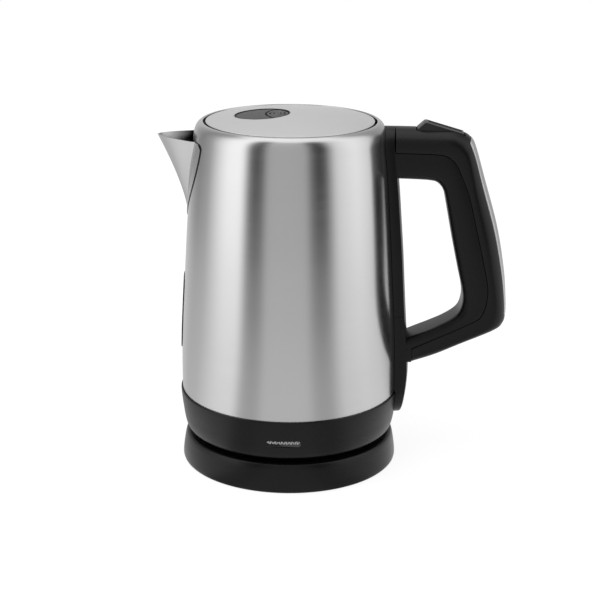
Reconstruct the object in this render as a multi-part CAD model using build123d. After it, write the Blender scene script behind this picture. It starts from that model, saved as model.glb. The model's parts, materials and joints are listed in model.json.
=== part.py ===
"""Electric kettle on its round power base, in millimetres.

+Z is up and z = 0 is the surface the base stands on. The jug's axis is the Z axis,
the handle points along +X and the spout along -X. Every piece is mirrored about y = 0,
except the indicator on the -Y side and the cord's outlet on the +Y side of the base.
"""
import os
from math import atan2, degrees, sqrt

from build123d import *

# ---- driving dimensions ---------------------------------------------------------------
# fits
seam = 0.15            # between two fixed pieces of one body
swing = 0.4            # between pieces that move past each other
sheet = 0.7            # stainless sheet of the jug and the spout
lid_sheet = 0.6        # stainless sheet of the lid
moulding = 2.4         # plastic walls

# power base
base_r = 76.0          # widest radius, low on the side
base_top_in = 2.9      # fall of the side inwards at its top
base_toe_in = 0.6      # and at its toe
base_widest_z = 3.0
base_height = 20.2
base_toe_z = 0.3
foot_ring_in = 11.0    # middle of the rubber foot, from the edge
base_boss_in = 24.0    # screw bosses, from the edge
foot_ring_w = 5.0
foot_height = 1.2
post_r = 10.8          # plug post that the jug turns on
post_height = 10.8     # above the deck
cord_r = 3.4
cord_z = 10.0

# lower ring of the jug
stand_gap = 3.7        # shadow gap between base and ring
ring_height = 28.4
ring_lip = 1.1         # how far the ring stands out of the steel
ring_foot_in = 4.0     # fall of the ring inwards at its foot
ring_boss_in = 7.9     # screw bosses, from that foot
ring_belly_in = 1.0    # fall of the ring's side at two thirds of its height

# steel body: radii at heights above the ring
body_height = 190.1
body_r_low = 75.9
belly_in = 0.1         # falls of the side inwards from the low radius
waist_in = 2.7
chest_in = 6.7
shoulder_in = 9.9
belly_up = 28.0
waist_up = 81.0
chest_up = 143.0
shoulder_drop = 13.4   # from the rim down to where the shoulder starts
mouth_in = 6.9         # from the shoulder in to the mouth

# spout
spout_out = 14.7       # tip, beyond the low radius of the body
spout_tip_drop = 10.7  # tip below the rim
spout_rim_fall = 1.2   # how much lower the spout's rim meets the body
spout_half_width = 21.0
spout_length = 54.4    # from the rim of the spout down to its lowest point
spout_flange_half = 32.0  # half width of the welded flange that lies on the body
spout_flange_low = 2.0    # how far the flange runs on below the spout

# water window
window_half_width = 9.5
window_height = 55.0
window_up = 54.0       # middle, above the ring
window_proud = 0.7
window_frame_w = 3.0

# lid
lid_gap = 1.5          # between the lid and the mouth
lid_crown = 5.3
lid_body_in = 6.6      # the lid's round wall, from its edge
lid_boss_in = 13.0     # its screw bosses, from that wall
lid_depth = 16.4       # below the rim
lid_flange_t = 1.9
hinge_in = 5.0         # pin, from the lid's wall
hinge_drop = 1.3       # pin below the rim
hinge_pin_r = 0.8
hinge_post_y = 16.0
hinge_post_w = 4.0
hinge_post_r = 1.4     # rounded top of the posts
disc_x = -19.0         # round insert in the lid
disc_r = 18.5
pad_round_x = 7.0      # the push pad is where this circle crosses the insert
pad_round_r = 23.7

# handle
handle_width = 30.0
handle_round = 16.5    # radius of the rounded back, top and underside
bar_thickness = 6.7
bar_half_width = 18.0
bar_tip_z = 33.0
strap_swell = 1.7      # the bar's low end is this much thicker
bar_joint_z = 108.0
arm_top_drop = 3.6     # top of the handle below the rim
arm_depth = 34.0
grip_top_out = 46.0    # back of the grip beyond the belly, at the top corner
grip_low_out = 75.6    # and at the lowest corner
grip_low_z = 107.0
arm_low_z = 73.7       # underside of the lower arm where it leaves the bar
trim_t = 1.3
trim_proud = 0.4
trim_half_top = 11.5
trim_half_low = 7.5
rocker_half_width = 6.5
rocker_rise = 4.0

# ---- derived radii and heights ---------------------------------------------------------
base_top_r = base_r - base_top_in
base_toe_r = base_r - base_toe_in
foot_ring_r = base_r - foot_ring_in
base_boss_r = base_r - base_boss_in
ring_foot_r = body_r_low - ring_foot_in
ring_boss_r = ring_foot_r - ring_boss_in
body_r_belly = body_r_low - belly_in
body_r_waist = body_r_low - waist_in
body_r_chest = body_r_low - chest_in
body_r_shoulder = body_r_low - shoulder_in
mouth_r = body_r_shoulder - mouth_in
lid_r = mouth_r - lid_gap
lid_body_r = lid_r - lid_body_in
lid_boss_r = lid_body_r - lid_boss_in
hinge_x = lid_body_r - hinge_in
spout_reach = body_r_low + spout_out
ring_z0 = base_height + stand_gap
ring_z1 = ring_z0 + ring_height
rim_z = ring_z1 + body_height
floor_z = ring_z1 + 3.7            # wet side of the heating plate
shell_foot_z = ring_z1 - 8.3
shoulder_z = rim_z - shoulder_drop
hinge_z = rim_z - hinge_drop
lid_floor_z = rim_z - lid_depth
collar_z0 = rim_z - 16.9
collar_bore = lid_body_r + 2.0
neck_screw_z = rim_z - 10.0
strap_screw_z = ring_z0 + 18.0


# ---- small helpers ---------------------------------------------------------------------
def tube(r_out, r_in, z0, z1):
    """An upright ring."""
    return disc(r_out, z0, z1) - disc(r_in, z0 - 1, z1 + 1)


def disc(r, z0, z1, x=0.0, y=0.0):
    """An upright cylinder between two heights."""
    return Pos(x, y, z0) * Cylinder(r, z1 - z0, align=(Align.CENTER, Align.CENTER, Align.MIN))


def block(x0, x1, y0, y1, z0, z1):
    """A box between two corners."""
    return Pos(x0, y0, z0) * Box(x1 - x0, y1 - y0, z1 - z0, align=(Align.MIN,) * 3)


def turned(*lines):
    """The solid that a closed outline in the XZ plane sweeps round the Z axis."""
    return revolve(Plane.XZ * make_face(Wire(lines)), Axis.Z)


def pill_x(half_width, height, z, x0, x1, y=0.0):
    """A prism along X whose section is a pill standing upright."""
    outline = Plane(origin=(x0, y, z), x_dir=(0, 1, 0), z_dir=(1, 0, 0)) * SlotOverall(
        height, 2 * half_width, rotation=90
    )
    return extrude(outline, x1 - x0)


def prism_x(points, x0, x1):
    """A prism along X over a polygon of (y, z) points."""
    plane = Plane(origin=(x0, 0, 0), x_dir=(0, 1, 0), z_dir=(1, 0, 0))
    return extrude(plane * make_face(Polyline(*points, close=True)), x1 - x0)


def x_hole(r, x0, x1, z):
    """A round hole or shank along X."""
    return Pos((x0 + x1) / 2, 0, z) * Rot(0, 90, 0) * Cylinder(r, x1 - x0)


def slab(face, half_width):
    """A face in the XZ plane given the same thickness to both sides."""
    return extrude(Plane.XZ * face, half_width, both=True)


def one(shape, name):
    """The shape with its node's name, as a plain solid where it is one."""
    solids = shape.solids()
    result = solids[0] if len(solids) == 1 else Compound(children=list(solids))
    result.label = name
    return result


def around(shape, angles):
    """Copies of a shape turned about the jug's axis."""
    return [Rot(0, 0, angle) * shape for angle in angles]


# ---- outlines that several pieces share ------------------------------------------------
def body_solid(inset, z_foot=shell_foot_z):
    """The steel body as a solid, its surface moved inwards by inset."""
    side = Spline(
        (body_r_low - inset, ring_z1),
        (body_r_belly - inset, ring_z1 + belly_up),
        (body_r_waist - inset, ring_z1 + waist_up),
        (body_r_chest - inset, ring_z1 + chest_up),
        (body_r_shoulder - inset, shoulder_z),
    )
    reach = body_r_shoulder - mouth_r
    shoulder = Bezier(
        side @ 1,
        (body_r_shoulder - inset - 0.12 * reach, shoulder_z + 0.52 * shoulder_drop),
        (body_r_shoulder - 0.29 * reach - inset / 2, rim_z - inset),
        (mouth_r, rim_z - inset),
    )
    foot = Line((body_r_low - inset, z_foot), side @ 0)
    return turned(
        foot,
        side,
        shoulder,
        Line(shoulder @ 1, (0, rim_z - inset)),
        Line((0, rim_z - inset), (0, z_foot)),
        Line((0, z_foot), foot @ 0),
    )


def body_x(z):
    """Radius of the steel body at a height, read off its own outline."""
    heights = (ring_z1, ring_z1 + belly_up, ring_z1 + waist_up, ring_z1 + chest_up, shoulder_z)
    radii = (body_r_low, body_r_belly, body_r_waist, body_r_chest, body_r_shoulder)
    for low, high, r_low, r_high in zip(heights, heights[1:], radii, radii[1:]):
        if z <= high:
            return r_low + (r_high - r_low) * max(z - low, 0.0) / (high - low)
    return radii[-1]


def wall_patch(outer_inset, inner_inset, mask):
    """The piece of a curved layer of the body wall that a mask cuts out."""
    return (body_solid(outer_inset) - body_solid(inner_inset, shell_foot_z - 1)) & mask


def ring_solid(inset):
    """The lower ring as a solid, its side moved inwards by inset."""
    r_top = body_r_low + ring_lip
    side = Spline(
        (ring_foot_r - inset, ring_z0 + 0.8),
        (r_top - ring_belly_in - inset, ring_z0 + 0.63 * ring_height),
        (r_top - inset, ring_z1 - 0.4),
    )
    return turned(
        Line((0, ring_z0), (ring_foot_r - 0.8 - inset, ring_z0)),
        Line((ring_foot_r - 0.8 - inset, ring_z0), side @ 0),
        side,
        Line(side @ 1, (r_top - 0.4 - inset, ring_z1)),
        Line((r_top - 0.4 - inset, ring_z1), (0, ring_z1)),
        Line((0, ring_z1), (0, ring_z0)),
    )


def base_solid(inset):
    """The power base as a solid, its skin moved inwards by inset."""
    top = base_height - inset
    side = Spline(
        (base_toe_r - inset, base_toe_z),
        (base_r - inset, base_widest_z),
        (base_top_r + 0.45 * (base_r - base_top_r) - inset, base_height - 6.0),
        (base_top_r - inset, top - 0.8),
    )
    return turned(
        Line((0, base_toe_z), side @ 0),
        side,
        Line(side @ 1, (base_top_r - 0.8 - inset, top)),
        Line((base_top_r - 0.8 - inset, top), (0, top)),
        Line((0, top), (0, base_toe_z)),
    )


def crown(drop=0.0, r=lid_r):
    """The lid's domed top as a solid down to the hinge's height, lowered by drop."""
    arc = ThreePointArc(
        (-r, rim_z - 0.3 - drop),
        (0, rim_z - 0.3 + lid_crown - drop),
        (r, rim_z - 0.3 - drop),
    )
    half = arc.trim(0.5, 1.0)
    low = hinge_z - 2.4
    return turned(
        half,
        Line(half @ 1, (r, low)),
        Line((r, low), (0, low)),
        Line((0, low), half @ 0),
    )


# ---- power base ------------------------------------------------------------------------
screw_r = 1.2
screw_head_r = 2.6
base_angles = (30, 150, 270)
plate_z0 = foot_height
plate_z1 = plate_z0 + 2.4


def base_cover():
    shell = base_solid(0) - (base_solid(moulding - 0.2) & disc(base_r, 0, base_height))
    shell -= disc(base_toe_r - moulding, 0, base_toe_z + 1)
    bosses = around(disc(4.0, plate_z1, base_height - 1, base_boss_r), base_angles)
    splash = tube(post_r + 5.7, post_r + 3.7, base_height - 1, base_height + 1.2)
    shell = shell + bosses + splash
    shell -= disc(post_r + swing, 0, base_height + 2)
    shell -= around(disc(screw_r + 0.05, 0, plate_z1 + 9, base_boss_r), base_angles)
    return shell - Pos(0, base_r - 5, cord_z) * Rot(90, 0, 0) * Cylinder(cord_r + 2.15, 20)


def base_plate():
    plate = disc(base_toe_r - moulding - seam, plate_z0, plate_z1)
    plate -= tube(
        foot_ring_r + foot_ring_w / 2 + 0.05, foot_ring_r - foot_ring_w / 2 - 0.05, 0, plate_z0 + 0.8
    )
    plate -= around(disc(screw_r + 0.2, 0, 10, base_boss_r), base_angles)
    plate -= around(disc(screw_head_r + 0.2, 0, plate_z0 + 1.2, base_boss_r), base_angles)
    cradle = tube(post_r + 3.0, post_r + 0.8, plate_z1, base_height - 12.4)
    return plate + cradle


def foot_ring():
    half = foot_ring_w / 2
    return tube(foot_ring_r + half, foot_ring_r - half, 0, plate_z0 + 0.8)


def screw(z_head, length, head_up=False):
    """A pan head screw on the Z axis; its shank runs up, or down with head_up."""
    side = -1 if head_up else 1
    head = disc(screw_head_r, min(z_head, z_head + side * 1.1), max(z_head, z_head + side * 1.1))
    shank_end = z_head + side * length
    body = head + disc(screw_r, min(z_head, shank_end), max(z_head, shank_end))
    slot_z = z_head + side * 0.25
    return body - Pos(0, 0, slot_z) * Box(3.2, 0.8, 0.6)


def base_screws():
    return Compound(children=around(Pos(base_boss_r, 0, 0) * screw(plate_z0 + 0.1, 9), base_angles))


connector_z0 = base_height - 12.2


def base_connector():
    post_top = base_height + post_height
    body = disc(post_r, connector_z0, post_top)
    body = chamfer(body.edges().sort_by(Axis.Z)[-1], 0.8)
    body += disc(post_r + 6.0, base_height - moulding - 2.2, base_height - moulding + 0.1)
    body -= disc(3.0, base_height, post_top + 1)
    return body - tube(post_r - 2.4, post_r - 5.0, base_height, post_top + 1)


def base_terminals():
    tab = block(-2.5, 2.5, -0.4, 0.4, plate_z1 + 0.3, connector_z0)
    return Compound(children=around(Pos(post_r - 4, 0, 0) * tab, (0, 120, 240)))


def cord_gland():
    outer = Pos(0, base_r - 4.2, cord_z) * Rot(90, 0, 0) * Cylinder(cord_r + 2.0, 8.0)
    flange = Pos(0, base_r - 6.6, cord_z) * Rot(90, 0, 0) * Cylinder(cord_r + 2.9, 2.0)
    hole = Pos(0, base_r - 5, cord_z) * Rot(90, 0, 0) * Cylinder(cord_r + 0.2, 20)
    return outer + flange - hole


# ---- socket under the jug --------------------------------------------------------------
socket_z0 = base_height + 1.6
socket_r = post_r + swing + 2.8
socket_top = base_height + post_height + 3.0


def socket_housing():
    cup = disc(socket_r, socket_z0, socket_top)
    return cup - disc(post_r + swing, socket_z0 - 1, base_height + post_height + 0.5)


def socket_pin():
    return disc(3.0 - swing, base_height + 0.6, base_height + post_height + 0.5)


def socket_ring():
    return tube(
        post_r - 2.4 - swing, post_r - 5.0 + swing, base_height + 0.6, base_height + post_height + 0.5
    )


# ---- lower ring and what it holds ------------------------------------------------------
cover_z0 = ring_z0 + 0.3
cover_z1 = cover_z0 + 2.2
ring_angles = (60, 180, 300)
lens_z = ring_z0 + 12.2
lens_length = 23.6
lens_height = 4.8


def pill_y(length, height, z, y0, y1):
    """A prism along Y whose section is a pill lying along X."""
    outline = Plane(origin=(0, y1, z), x_dir=(1, 0, 0), z_dir=(0, -1, 0)) * SlotOverall(length, height)
    return extrude(outline, y1 - y0)


def lower_ring():
    ring = ring_solid(0) - (ring_solid(moulding) & disc(base_r, ring_z0 + 0.1, ring_z1 - 6.0))
    ring -= disc(ring_foot_r - moulding - 0.8, ring_z0 - 1, ring_z0 + 3)
    ring -= body_solid(-seam, shell_foot_z - seam)
    ring -= disc(body_r_low - 2.6, shell_foot_z - 4, ring_z1 + 1)
    boss = disc(4.0, cover_z1 + 0.05, ring_z0 + 14.0, ring_boss_r)
    web = block(ring_boss_r, ring_foot_r - 1.5, -1.5, 1.5, cover_z1 + 0.05, ring_z0 + 14.0)
    ring += around(boss + web, ring_angles)
    ring -= around(disc(screw_r + 0.05, cover_z1, ring_z0 + 11, ring_boss_r), ring_angles)
    ring -= x_hole(screw_r + 0.05, ring_foot_r - 5, hx + 9, strap_screw_z)
    return ring - pill_y(lens_length + 0.2, lens_height + 0.2, lens_z, -body_r_low - 4.1, -ring_foot_r + 12)


def bottom_cover():
    cover = disc(ring_foot_r - moulding - 0.8 - seam, cover_z0, cover_z1)
    cover += tube(60.5, 55.5, base_height, cover_z0 + 1)
    cover -= disc(socket_r + swing, 0, cover_z1 + 1)
    cover -= around(disc(screw_r + 0.2, 0, cover_z1 + 1, ring_boss_r), ring_angles)
    return cover - around(disc(screw_head_r + 0.2, 0, cover_z0 + 1.0, ring_boss_r), ring_angles)


def bottom_screws():
    return Compound(
        children=around(Pos(ring_boss_r, 0, 0) * screw(cover_z0 - 0.1, 9.5), ring_angles)
    )


control_r = 24.0
control_top = floor_z - 9.0


def control_housing():
    body = disc(control_r, cover_z1 + 0.1, control_top)
    body -= disc(socket_r + swing, cover_z1 - 1, socket_top + 0.3)
    return chamfer(body.edges().sort_by(Axis.Z)[-1], 1.0)


plate_t = 0.8
spreader_t = 3.0
element_r = 46.0
element_tube_r = 3.3
spreader_z0 = floor_z - plate_t - spreader_t


def bimetal_discs():
    disc_height = spreader_z0 - control_top
    button = disc(7.5, control_top, control_top + 0.6) + disc(2.0, control_top, control_top + disc_height)
    return Compound(children=[Pos(x, 0, 0) * button for x in (-12, 12)])


def heating_plate():
    plate = disc(body_r_low - sheet - 0.3, floor_z - plate_t, floor_z)
    return plate + tube(body_r_low - 2.7, body_r_low - 3.5, floor_z - 9, floor_z - plate_t)


def plate_seal():
    middle = (body_r_low - sheet + body_r_low - 2.7) / 2
    return Pos(0, 0, floor_z - 6) * Torus(middle, (body_r_low - sheet - middle) - 0.05)


def heat_spreader():
    return disc(element_r + 14, spreader_z0, floor_z - plate_t)


def heating_element():
    tube_z = spreader_z0 - element_tube_r
    section = Pos(element_r, 0, tube_z) * Rot(90, 0, 0) * Circle(element_tube_r)
    loop = Rot(0, 0, 20) * revolve(section, Axis.Z, 320)
    tail = disc(element_tube_r - 0.6, tube_z - 11, tube_z, element_r)
    elbow = Pos(element_r, 0, tube_z) * Sphere(element_tube_r)
    return loop + around(tail + elbow, (20, -20))


def indicator_lens():
    face = ring_solid(0) & pill_y(lens_length, lens_height, lens_z, -body_r_low - 4.1, -ring_foot_r + 2.7)
    flange = pill_y(
        lens_length + 4, lens_height + 4, lens_z, -ring_foot_r + 1.7, -ring_foot_r + 2.7
    )
    return face + flange


def indicator_board():
    y0 = -ring_foot_r + 4.7
    board = block(-14, 14, y0, y0 + 1.2, ring_z0 + 6, ring_z0 + 19)
    lamps = [disc(1.6, 0, 1.7).rotate(Axis.X, 90).translate((x, y0, lens_z)) for x in (-6, 6)]
    return board + lamps


# ---- steel body ------------------------------------------------------------------------
window_z = ring_z1 + window_up
spout_top_z = rim_z - spout_tip_drop
mouth_top_z = spout_top_z - 3.4
opening_low_z = spout_top_z - 36.0


def window_mask(grow=0.0, reach=0.0):
    return pill_x(
        window_half_width + grow, window_height + 2 * grow, window_z, -body_r_low - 9.1 - reach, -45
    )


def spout_opening(grow=0.0):
    """The hole in the body behind the spout, as a prism along X."""
    half_top = spout_half_width - 4.0 + grow
    half_low = 4.0 + grow
    return prism_x(
        [
            (-half_top, mouth_top_z + grow),
            (half_top, mouth_top_z + grow),
            (half_low, opening_low_z - grow),
            (-half_low, opening_low_z - grow),
        ],
        -body_r_low - 0.1,
        -45,
    )


steam_z = rim_z - 22.0
steam_r = 3.0


def body_shell():
    shell = body_solid(0) - body_solid(sheet, shell_foot_z - 1)
    shell -= disc(mouth_r, rim_z - 3, rim_z + 1)
    shell -= window_mask(0.1)
    shell -= spout_opening()
    shell -= x_hole(steam_r + 0.1, body_r_shoulder - 10, body_r_shoulder + 10, steam_z)
    return shell - x_hole(screw_r + 0.1, body_r_shoulder - 10, body_r_shoulder + 10, neck_screw_z)


def window_frame():
    outer = wall_patch(-window_proud, sheet + 1.6, window_mask(-0.05))
    flange = wall_patch(sheet + 0.9, sheet + 1.6, window_mask(2.5))
    return outer + flange - window_mask(-window_frame_w, 5)


def water_window():
    pane = wall_patch(-window_proud + 0.2, sheet + 1.6, window_mask(-window_frame_w - 0.1))
    flange = wall_patch(sheet + 1.7, sheet + 3.2, window_mask(0.5))
    return pane + flange + wall_patch(sheet + 1.5, sheet + 1.8, window_mask(-window_frame_w - 0.1))


def window_gasket():
    layer = wall_patch(sheet + 0.05, sheet + 0.85, window_mask(2.5))
    return layer - window_mask(0.2)


def spout_ridge_at(z):
    """How far the front ridge of the spout stands out, at a height."""
    low = spout_top_z - spout_length
    share = max(z - low, 0.0) / spout_length
    foot = body_x(low) + 0.2
    return foot + (spout_reach - foot) * share**1.42


def spout_wedge(inset):
    """The spout as a solid from inside the body, its faces moved inwards by inset."""
    sections = []
    for share in (0.07, 0.2, 0.4, 0.62, 0.85, 1.08):
        z = spout_top_z - spout_length * (1 - share)
        half = max(spout_half_width * share**1.15 - inset, 0.5)
        on_body = sqrt(body_x(z) ** 2 - half**2) - 0.8
        ridge = max(spout_ridge_at(z) - 1.1 * inset, on_body + 0.6)
        out = ridge - on_body
        nose = Spline(
            (-on_body, half),
            (-ridge + 0.5 * out, 0.66 * half),
            (-ridge + 0.14 * out, 0.32 * half),
            (-ridge, 0),
            (-ridge + 0.14 * out, -0.32 * half),
            (-ridge + 0.5 * out, -0.66 * half),
            (-on_body, -half),
        )
        inside = Polyline(
            (-on_body, half),
            (-on_body + 9, 0.8 * half),
            (-on_body + 9, -0.8 * half),
            (-on_body, -half),
        )
        outline = make_face(Wire([nose, *inside.edges()]))
        sections.append(Pos(0, 0, z) * Plane.XY * outline)
    return loft(sections)


def spout_foot_mask(half_top, power, z_low):
    """An outline on the body that widens upwards from z_low, as a prism along X."""
    side = [(0, z_low)]
    for k in range(1, 13):
        share = k / 12
        side.append((half_top * (1 - (1 - share) ** power), z_low + (spout_top_z - z_low) * share))
    side.append((half_top, spout_top_z + 3))
    return prism_x(side + [(-y, z) for y, z in side[:0:-1]], -body_r_low - 20.1, -45)


def spout():
    walls = spout_wedge(0) - spout_wedge(sheet) - body_solid(0)
    fall = degrees(atan2(spout_rim_fall, spout_reach - body_r_shoulder))
    above = Pos(-spout_reach, 0, spout_top_z) * Rot(0, fall, 0) * block(-30, 60, -60, 60, 0, 40)
    low = spout_top_z - spout_length
    outline = spout_foot_mask(spout_flange_half, 2.2, low - spout_flange_low)
    inside = spout_foot_mask(spout_half_width - 2.0, 1.0, low + 7.0)
    flange = wall_patch(-sheet + 0.1, 0, outline - inside)
    return walls + flange - above


def spout_filter():
    plate = wall_patch(sheet + 0.3, sheet + 2.0, spout_opening(2.4))
    plate &= block(-body_r_low, 0, -60, 60, 0, collar_z0 - 0.2)
    pitch = 4.2
    rows = range(-3, 4)
    low = opening_low_z + 2.0
    slots = [block(-body_r_low, -45, k * pitch - 1.4, k * pitch + 1.4, low + abs(k) * 7.4, collar_z0 - 3)
             for k in rows]
    bars = [block(-body_r_low, -45, -30, 30, z, z + 1.2) for z in (low + 9, low + 17)]
    return plate - (Compound(children=slots) - bars)


def rim_collar():
    ring = tube(body_r_shoulder, collar_bore, collar_z0, rim_z - 4.0)
    ring += tube(body_r_shoulder, lid_r + 0.6, rim_z - 4.5, rim_z - 2.6)
    ring &= body_solid(sheet + seam)
    groove = tube(body_r_shoulder - 5.0, collar_bore + 2.0, collar_z0 - 1, rim_z - 7.0)
    ring -= groove - block(hinge_x - 11, body_r_low, -45, 45, 0, rim_z)
    pocket = disc(mouth_r + 1.4, collar_z0 + 2.3, rim_z) & block(hinge_x - 3, body_r_low, -37, 37, 0, rim_z)
    ring -= pocket
    for side in (-1, 1):
        y = side * hinge_post_y
        half = hinge_post_w / 2
        side_view = Polyline(
            (hinge_x - 2.4, collar_z0),
            (hinge_x - hinge_post_r, hinge_z),
            (hinge_x + hinge_post_r, hinge_z),
            (hinge_x + 0.3, hinge_z - 4.5),
            (hinge_x + 0.3, collar_z0),
            close=True,
        )
        post = Pos(0, y, 0) * slab(make_face(side_view), half)
        head = Pos(hinge_x, y, hinge_z) * Rot(90, 0, 0) * Cylinder(hinge_post_r, hinge_post_w)
        foot = block(hinge_x - 2.4, mouth_r, y - half, y + half, collar_z0, collar_z0 + 2.3)
        ring += post + head + foot
    ring -= x_hole(screw_r + 0.05, mouth_r, body_r_shoulder + 9, neck_screw_z)
    return ring - hinge_bore()


def hinge_bore(grow=0.05):
    return Pos(hinge_x, 0, hinge_z) * Rot(90, 0, 0) * Cylinder(hinge_pin_r + grow, 80)


# ---- lid -------------------------------------------------------------------------------
lid_top_z = rim_z - 1.8            # upper face of the lid's plastic flange
knuckle_half = hinge_post_y - hinge_post_w / 2 - swing
button_x = -9.0
lid_angles = (75, 140, 220, 285)
bolt_z0 = lid_floor_z + 4.0
bolt_t = 4.0


def insert_disc(r, z0, z1):
    return disc(r, z0, z1, disc_x)


def pad_column(grow, z0, z1):
    """The push pad's outline as an upright prism."""
    return insert_disc(disc_r - 0.1 + grow, z0, z1) & disc(pad_round_r + grow, z0, z1, pad_round_x)


def post_slots():
    half = hinge_post_w / 2 + swing
    slot = block(hinge_x - 4, 70, hinge_post_y - half, hinge_post_y + half, 0, rim_z + 9)
    return slot + mirror(slot, Plane.XZ)


def lid_cover():
    dome = crown() - crown(lid_sheet, lid_r - lid_sheet)
    dome &= disc(lid_r, lid_top_z + 0.05, rim_z + 9)
    return dome - insert_disc(disc_r + seam, 0, rim_z + 9)


def lid_frame():
    flange = disc(lid_r - lid_sheet - 0.2, lid_top_z - lid_flange_t, lid_top_z)
    wall = tube(lid_body_r, lid_body_r - 2.0, lid_floor_z + 2, lid_top_z)
    rails = [block(-46, 0, side * 7.2 - 0.8, side * 7.2 + 0.8, bolt_z0, lid_top_z - 1)
             for side in (-1, 1)]
    stop = block(13, 15, -8, 8, bolt_z0 - 1, lid_top_z - 1)
    bosses = around(disc(3.6, lid_floor_z + 2, lid_top_z - 1, lid_boss_r), lid_angles)
    frame = flange + wall + rails + [stop] + bosses
    frame -= post_slots()
    knuckle = Pos(hinge_x, 0, hinge_z) * Rot(90, 0, 0) * Cylinder(2.1, 2 * knuckle_half)
    knuckle &= crown(lid_sheet + 0.15)
    frame += knuckle
    frame -= block(hinge_x - 3.4, hinge_x + 3.4, -7.4, 7.4, hinge_z - 3.2, rim_z + 9)
    frame -= hinge_bore()
    frame -= block(button_x - 3.2, button_x + 6.6, -3.6, 3.6, 0, rim_z)
    frame -= block(-60, -44, -6.3, 6.3, bolt_z0 - 0.3, bolt_z0 + bolt_t + 0.3)
    return frame - around(
        disc(screw_r + 0.05, 0, lid_top_z - 4, lid_boss_r), lid_angles
    )


def lid_plate():
    plate = disc(lid_body_r, lid_floor_z, lid_floor_z + 2)
    plate += block(-44, -16, -5.5, 5.5, lid_floor_z + 1, bolt_z0 - 0.1)
    plate -= around(disc(screw_r + 0.2, 0, rim_z, lid_boss_r), lid_angles)
    plate -= around(disc(screw_head_r + 0.2, 0, lid_floor_z + 1.0, lid_boss_r), lid_angles)
    return plate - post_slots()


def lid_screws():
    return Compound(
        children=around(
            Pos(lid_boss_r, 0, 0) * screw(lid_floor_z - 0.1, 8.5), lid_angles
        )
    )


def lid_seal():
    ring = tube(lid_body_r + 1.5, lid_body_r + 0.05, lid_top_z - 5.4, lid_top_z - 3.4)
    return ring - block(36, 80, -60, 60, 0, rim_z)


def button_bezel():
    bezel = crown(0.1) & insert_disc(disc_r, lid_top_z, rim_z + 9)
    bezel -= crown(2.2) & insert_disc(disc_r - 1.5, 0, rim_z + 9)
    return bezel - pad_column(0.35, 0, rim_z + 9)


def lid_button():
    pad = (crown(0.3) - crown(2.6)) & pad_column(0, lid_top_z, rim_z + 9)
    stem = block(button_x - 2.5, button_x + 2.5, -2.8, 2.8, bolt_z0 + 0.9, rim_z + 2.6)
    wedge = slab(
        make_face(
            Polyline(
                (button_x + 2, bolt_z0 + 1.7),
                (button_x + 2.5, bolt_z0 + 2.2),
                (button_x + 6.0, bolt_z0 + 5.7),
                (button_x + 2, bolt_z0 + 5.7),
                close=True,
            )
        ),
        2.8,
    )
    return pad + stem + wedge


def latch_bolt():
    bar = block(-lid_body_r - 0.6, 1, -6, 6, bolt_z0, bolt_z0 + bolt_t)
    window_end = button_x + 3.1
    bar -= block(button_x - 6, window_end, -3.4, 3.4, 0, rim_z)
    slope = slab(
        make_face(
            Polyline(
                (window_end - 1, bolt_z0 + 1.3),
                (window_end, bolt_z0 + 2.3),
                (window_end + 2.6, bolt_z0 + 4.9),
                (window_end - 1, bolt_z0 + 4.9),
                close=True,
            )
        ),
        3.4,
    )
    nose = Pos(-lid_body_r - 0.6, 0, bolt_z0) * Rot(0, 45, 0) * Box(2.4, 14, 2.4)
    return bar - slope - nose


def coil(radius, wire, pitch, height):
    """A helical spring standing on z = 0."""
    path = Helix(pitch=pitch, height=height, radius=radius)
    section = Plane(origin=path @ 0, z_dir=path % 0) * Circle(wire)
    return sweep(section, path)


def button_spring():
    low = lid_top_z + 0.35
    return Pos(button_x, 0, low) * coil(6.2, 0.3, 1.0, rim_z + 0.6 - lid_top_z - 0.7)


def latch_spring():
    length = 11.3
    return Pos(1.35, 0, bolt_z0 + bolt_t / 2) * Rot(0, 90, 0) * coil(1.6, 0.3, 1.6, length)


def lid_spring():
    turns = Pos(hinge_x, -6.8, hinge_z) * Rot(-90, 0, 0) * coil(1.35, 0.25, 0.9, 13.6)
    return turns


def hinge_pin():
    length = 2 * (hinge_post_y + hinge_post_w / 2 + 1.2)
    return Pos(hinge_x, 0, hinge_z) * Rot(90, 0, 0) * Cylinder(hinge_pin_r, length)


# ---- handle ----------------------------------------------------------------------------
hx = body_r_belly                  # handle's own x values count from here
arm_top_z = rim_z - arm_top_drop
arm_low_in_z = arm_low_z + 17.9    # upper side of the lower arm where it leaves the bar
stub_out = 10.0                    # end of the strap's stub, beyond the belly
stub_top_z = arm_low_z + 10.5
grip_back = (
    (hx + grip_top_out + 1.2, arm_top_z - 6.8),
    (hx + 66.5, (arm_top_z + grip_low_z) / 2 - 1.9),
    (hx + grip_low_out, grip_low_z),
)


def rounded(points, radii):
    """A closed polygon in the XZ plane with its corners rounded; radius 0 stays sharp."""
    face = make_face(Polyline(*points, close=True))
    for point, radius in zip(points, radii):
        if radius:
            vertex = face.vertices().sort_by_distance((point[0], point[1], 0))[0]
            face = fillet(vertex, radius)
    return face


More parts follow.
